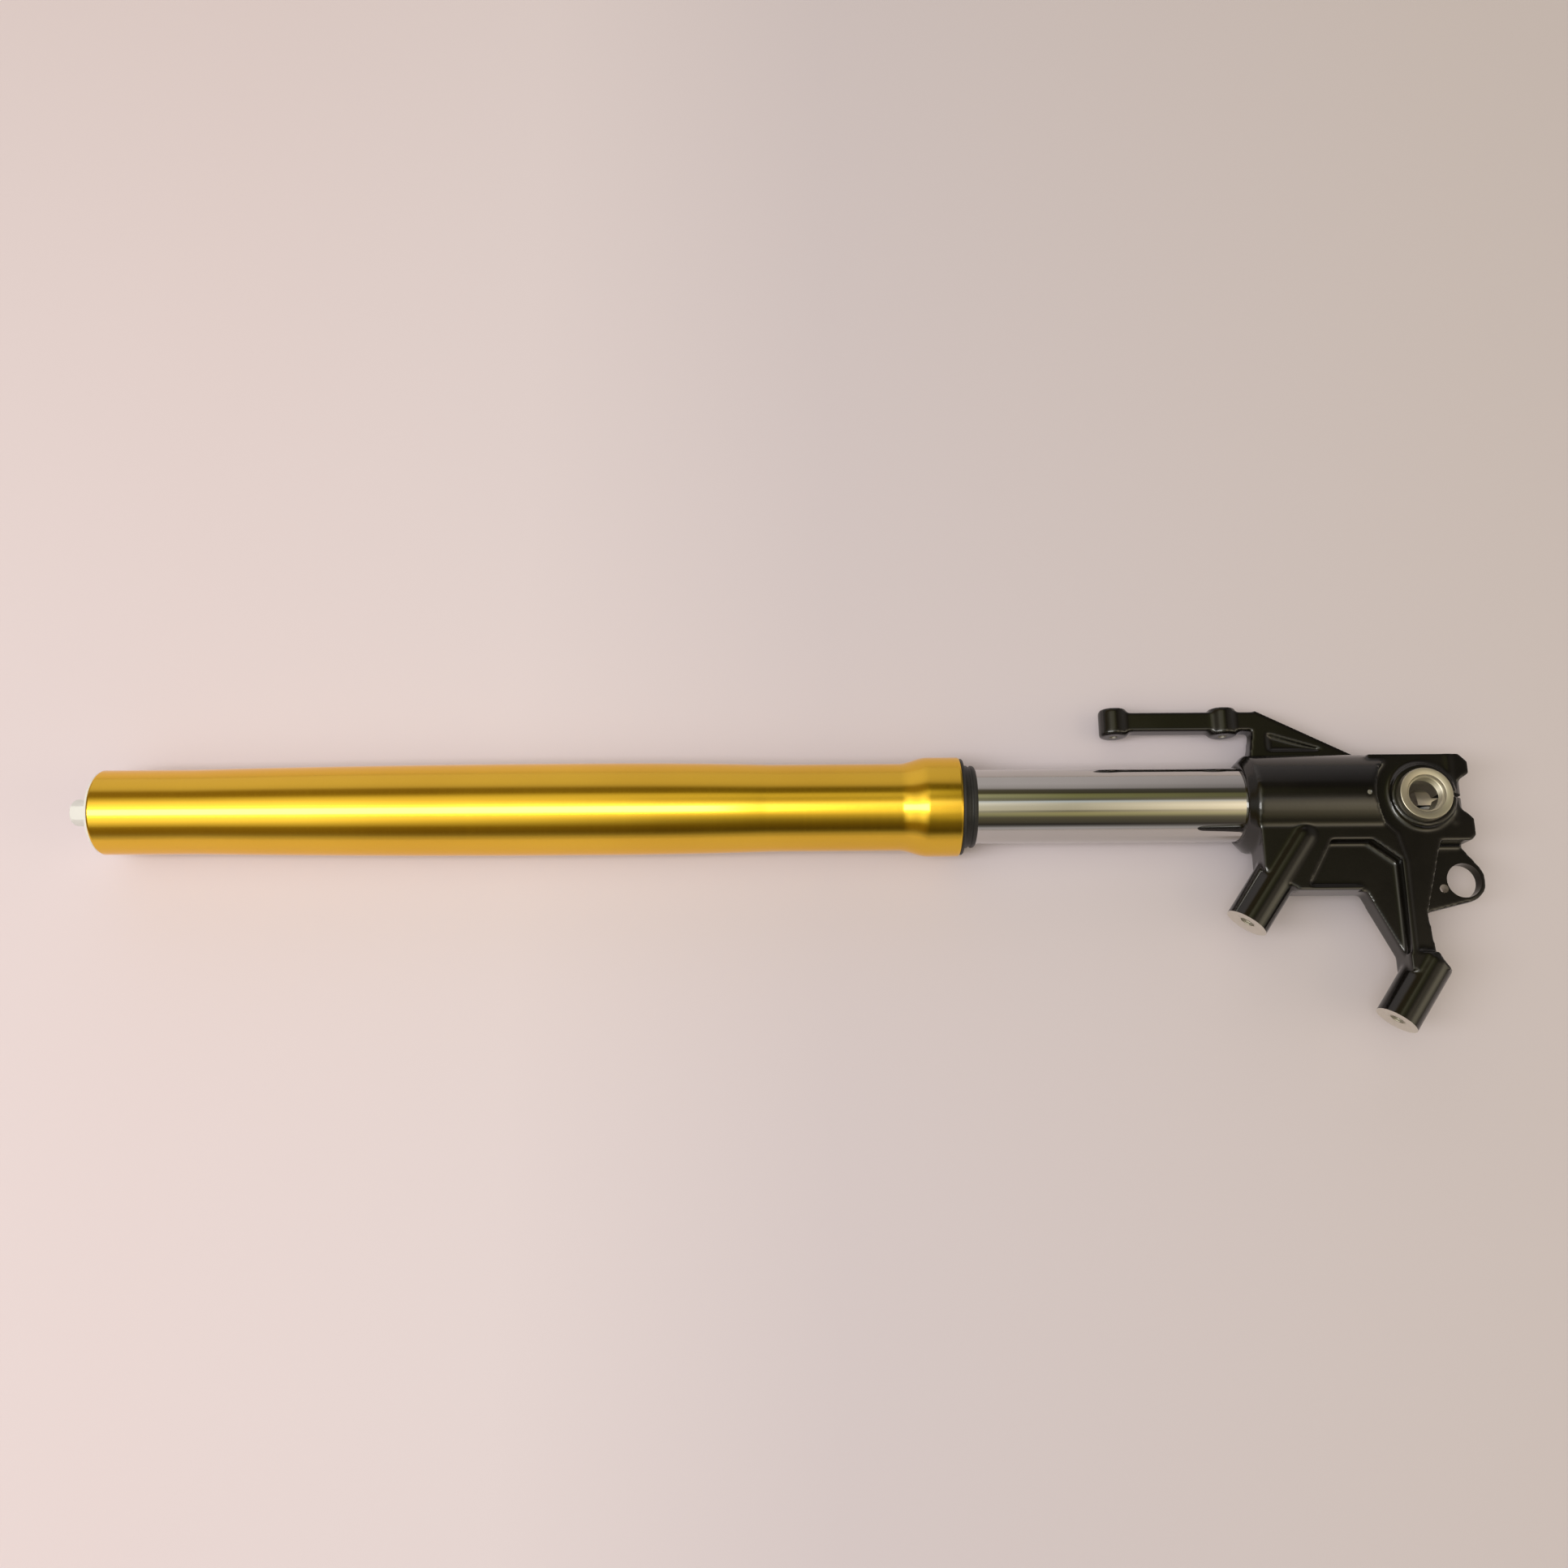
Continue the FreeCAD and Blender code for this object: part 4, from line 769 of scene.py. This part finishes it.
def coils(name, body, low, high):
    """The coils from top to foot, without the stretch from low to high, riding one body."""
    piece = helix.copy()
    piece.data = helix.data.copy()
    piece.name = name
    bpy.context.scene.collection.objects.link(piece)
    others = block("other_coils", (low, -SPRING_CLEAR, -SPRING_CLEAR), (high, SPRING_CLEAR, SPRING_CLEAR))
    cut_away(piece, bare(others, spring_metal))
    stands_for(smooth(piece, 50), body, "spring_steel", "main_spring")
    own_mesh(piece)


coils("coil_spring_upper", "preload_carrier",
      SPRING_CUT, SPRING_FOOT + 10.0)
coils("coil_spring_lower", "fork_upper",
      SPRING_TOP - 10.0, SPRING_CUT + SPRING_GAP)
bpy.data.objects.remove(helix)

# %% [markdown]
# The pinch bolts are socket screws whose heads are sunk in the front of the clamp. Each is a turned head and
# shank with a hexagonal key hole, a chamfered rim and a thread at its end.

# %% Pinch bolts
KEY_FLATS = 6.0
for number, level in enumerate(PINCH_LEVELS, start=1):
    section = [(-17.0, 0.01), (-17.0, 3.2), (-16.2, 4.0)] + thread_teeth(-16.0, -4.0, 3.5, 4.0, 1.25)
    section += [(13.0, 4.0), (13.0, 6.5), (20.3, 6.5), (21.0, 5.9), (21.0, 0.01)]
    bolt = turned("pinch_bolt_%d" % number, section, 64)
    bolt.rotation_euler = (0, 0, math.radians(90))
    bolt.location = (PINCH_X * MM, 0, level * MM)
    settle(bolt.name)
    cut_away(bolt, crosswise("key", over_corners(KEY_FLATS), PINCH_X, level, 17.0, 22.0, 6))
    stands_for(smooth(bolt), "fork_lower", "zinc_steel", *(["pinch_bolts"] if number == 1 else []))

# %% [markdown]
# The photograph was taken from above with the camera leaning a little towards the caliper posts. A pinhole fitted
# to the two ends of the leg and to the faces of the posts gives its place: 863 mm from the axis of the tubes,
# 14 degrees off the vertical, and opposite a point between the two tubes.

# %% Camera
LEAN = math.radians(14.0)
ROLL = math.radians(-0.39)
PHOTO_SIDE = 1932
FOCUS_PIXELS = 1746
SHIFT_PIXELS = 29.7
FILM_SIDE = 36.0
CAMERA_X, CAMERA_AWAY = -380.3, 863
towards_camera = Vector((0, -math.sin(LEAN), math.cos(LEAN)))

camera_data = bpy.data.cameras.new("camera")
camera = bpy.data.objects.new("camera", camera_data)
bpy.context.scene.collection.objects.link(camera)
camera_data.sensor_width = FILM_SIDE
camera_data.lens = FILM_SIDE * FOCUS_PIXELS / PHOTO_SIDE
camera_data.shift_y = SHIFT_PIXELS / PHOTO_SIDE
camera_data.clip_start = 0.01
camera.matrix_world = (Matrix.Translation(Vector((CAMERA_X * MM, 0, 0)) + towards_camera * CAMERA_AWAY * MM)
                       @ Matrix.Rotation(LEAN, 4, "X") @ Matrix.Rotation(ROLL, 4, "Z"))
bpy.context.scene.camera = camera
print("camera at", [round(part, 4) for part in camera.location], "lens", round(camera_data.lens, 2))

# %% [markdown]
# The floor is a sheet of pale paper. Its colour drifts from lighter and pinkish on the left to darker and greyer on
# the right, which is painted light and shade falling off across the paper, and it is a little uneven. A picture of
# paper would do it too, but stops of colour over a few metres need no file and stay smooth however near one looks.


# %% Paper floor
FLOOR_SIDE, FLOOR_X, FLOOR_LEVEL = 14.0, -0.38, -30.9
# Painted light and shade: the paper's colour is lighter and pinker on the left and darker and greyer on the right.
PAINTED_LIGHT_TINTS = [(0.08, (0.765, 0.672, 0.736, 1)), (0.30, (0.765, 0.688, 0.76, 1)), (0.50, (0.685, 0.623, 0.70, 1)),
         (0.95, (0.69, 0.627, 0.675, 1))]
FIBRE = (0.67, 0.612, 0.69, 1)


def paper():
    finish = Finish("paper", {"Roughness": 0.9, "Specular IOR Level": 0.2})
    across = finish.parts(finish.node("TexCoord", output="Object"))[0]
    drift = finish.steps(across, -0.85, 0.15)
    soft = finish.grain(3.0, 2.0)
    # The painted light falling off across the paper, looked up along its width.
    painted_light = finish.ramp(drift, PAINTED_LIGHT_TINTS)
    finish.give("Base Color", finish.blend(finish.steps(soft, 0.2, 0.9, 0.0, 0.1), painted_light, FIBRE))
    return finish.material


nothing_selected()
bpy.ops.mesh.primitive_plane_add(size=FLOOR_SIDE, location=(FLOOR_X, 0, FLOOR_LEVEL * MM))
floor = settle("floor")
floor.data.materials.append(paper())
print("floor at", round(floor.data.vertices[0].co.z, 4))

# %% [markdown]
# The cream line along the tubes is a long softbox above the left half of the leg. One rectangular lamp stands for
# it, because its size and distance set the width of the line. It leans over the leg as the camera does, so that
# the line lies near the middle of the tubes.

# %% Key lamp
KEY_TURN = math.radians(14.0)
KEY_HEIGHT = 1.75
KEY_X = -1.40
KEY_SIZE, KEY_POWER, KEY_COLOUR = (2.0, 0.46), 19.5, (1.0, 0.99, 0.97)

key_data = bpy.data.lights.new("key", "AREA")
key_data.shape = "RECTANGLE"
key_data.size, key_data.size_y = KEY_SIZE
key_data.energy = KEY_POWER
key_data.color = KEY_COLOUR
key_lamp = bpy.data.objects.new("key", key_data)
bpy.context.scene.collection.objects.link(key_lamp)
key_lamp.location = (KEY_X, -KEY_HEIGHT * math.sin(KEY_TURN), KEY_HEIGHT * math.cos(KEY_TURN))
key_lamp.rotation_euler = (key_lamp.location - Vector((KEY_X, 0, 0))).to_track_quat("Z", "Y").to_euler()
print("key lamp at", [round(part, 3) for part in key_lamp.location])

# %% [markdown]
# The tubes show what light there is, as any mirror does. A round bar turns the room into lines along itself: the
# dark lines are the room on both sides of the softbox, and the gold near the edges is the paper again. A modelled
# room could do this, but the lines are easier to place as numbers. So the room is rows of stops over the angle from
# straight up, in degrees, one row for each of seven places from the left of the room to its right.

# %% Rows of the room
ROOM = {
    -0.80: {
        -88: (0.45, 0.41, 0.40), -70: (0.17, 0.115, 0.04), -50: (0.19, 0.145, 0.05), -30: (0.34, 0.32, 0.26),
        -4: (0.48, 0.45, 0.40), 14: (0.30, 0.28, 0.24), 34: (0.19, 0.135, 0.05), 60: (0.36, 0.33, 0.31),
    },
    -0.40: {
        -88: (0.58, 0.53, 0.52), -80: (0.28, 0.25, 0.24), -72: (0.19, 0.135, 0.05), -56: (0.24, 0.175, 0.06),
        -48: (0.75, 0.70, 0.50), -36: (1.5, 1.42, 1.1), -4: (1.9, 1.82, 1.6), 8: (1.6, 1.5, 1.2),
        20: (0.75, 0.70, 0.50), 28: (0.24, 0.175, 0.06), 42: (0.23, 0.165, 0.07), 50: (0.68, 0.62, 0.58),
        62: (0.76, 0.69, 0.66),
    },
    0.02: {
        -86: (0.48, 0.44, 0.42), -78: (0.14, 0.13, 0.12), -70: (0.048, 0.038, 0.022), -56: (0.115, 0.09, 0.04),
        -44: (0.18, 0.17, 0.12), -34: (0.42, 0.40, 0.28), -26: (1.0, 0.93, 0.65), -14: (1.1, 1.03, 0.78),
        -4: (1.8, 1.72, 1.5), 3: (0.75, 0.70, 0.50), 10: (0.36, 0.34, 0.22), 17: (0.75, 0.70, 0.45),
        22: (0.80, 0.76, 0.45), 28: (0.14, 0.115, 0.045), 40: (0.14, 0.115, 0.06), 48: (0.54, 0.49, 0.46),
        60: (0.62, 0.57, 0.54),
    },
    0.20: {
        -84: (0.50, 0.46, 0.44), -76: (0.12, 0.11, 0.10), -71: (0.03, 0.025, 0.02), -66: (0.08, 0.07, 0.05),
        -48: (0.14, 0.12, 0.07), -40: (0.42, 0.38, 0.16), -34: (0.46, 0.40, 0.18), -29: (0.24, 0.21, 0.14),
        -24: (0.62, 0.55, 0.38), -6: (0.72, 0.66, 0.48), 1: (0.66, 0.72, 0.72), 5: (0.14, 0.13, 0.09),
        8: (0.17, 0.16, 0.09), 14: (0.26, 0.25, 0.10), 22: (0.25, 0.24, 0.09), 27: (0.07, 0.06, 0.03),
        38: (0.09, 0.08, 0.06), 44: (0.42, 0.38, 0.36), 60: (0.55, 0.50, 0.48),
    },
    0.42: {
        -86: (0.35, 0.32, 0.30), -74: (0.12, 0.10, 0.08), -62: (0.10, 0.085, 0.06), -50: (0.20, 0.17, 0.11),
        -42: (0.50, 0.42, 0.27), -32: (1.1, 0.92, 0.60), -22: (2.0, 1.70, 1.14), -12: (2.3, 1.97, 1.42),
        -4: (1.6, 1.34, 0.95), 4: (0.42, 0.35, 0.25), 12: (0.08, 0.068, 0.052), 30: (0.045, 0.042, 0.035),
        44: (0.10, 0.09, 0.085), 60: (0.22, 0.20, 0.195), 80: (0.36, 0.33, 0.32),
    },
    0.60: {
        -80: (0.20, 0.18, 0.16), -50: (0.12, 0.10, 0.07), -12: (0.72, 0.62, 0.45), 8: (0.20, 0.17, 0.13),
        60: (0.16, 0.15, 0.14),
    },
    0.90: {
        -80: (0.25, 0.22, 0.18), -45: (0.9, 0.80, 0.56), -20: (2.0, 1.75, 1.25), 0: (1.2, 1.05, 0.80),
        15: (0.30, 0.27, 0.22), 80: (0.25, 0.23, 0.22),
    },
}
print("rows", len(ROOM), "stops", sum(len(row) for row in ROOM.values()))

# %% [markdown]
# The world looks up each direction in the two rows beside it and mixes them. Seen by the camera itself it is plain,
# so that the paper ends against an even wall in the low views.


# %% World
ROOM_SPAN = 90
WALL = (0.80, 0.75, 0.73, 1)


def room_stops(row):
    """The stops of one row, with angles in degrees as places between 0 and 1."""
    return [((angle + ROOM_SPAN) / (2 * ROOM_SPAN), shade + (1,)) for angle, shade in sorted(row.items())]


world = bpy.data.worlds.new("studio")
bpy.context.scene.world = world
room = Shading(world, "Background", {"Strength": 1.0})
aim_x, aim_y, aim_z = room.parts(room.node("TexCoord", output="Generated"))
angle = aim_y.maths("ARCTAN2", aim_y, aim_z)
edge = math.radians(ROOM_SPAN)
turn = room.steps(angle, -edge, edge)
places = list(ROOM)
shade = room.ramp(turn, room_stops(ROOM[places[0]]))
for left, right in zip(places, places[1:]):
    shade = room.blend(room.steps(aim_x, left, right), shade, room.ramp(turn, room_stops(ROOM[right])))
seen = room.node("LightPath", output="Is Camera Ray")
room.give("Color", room.blend(seen, shade, WALL))
bpy.context.scene.view_settings.view_transform = "Standard"
print("world", world.name)
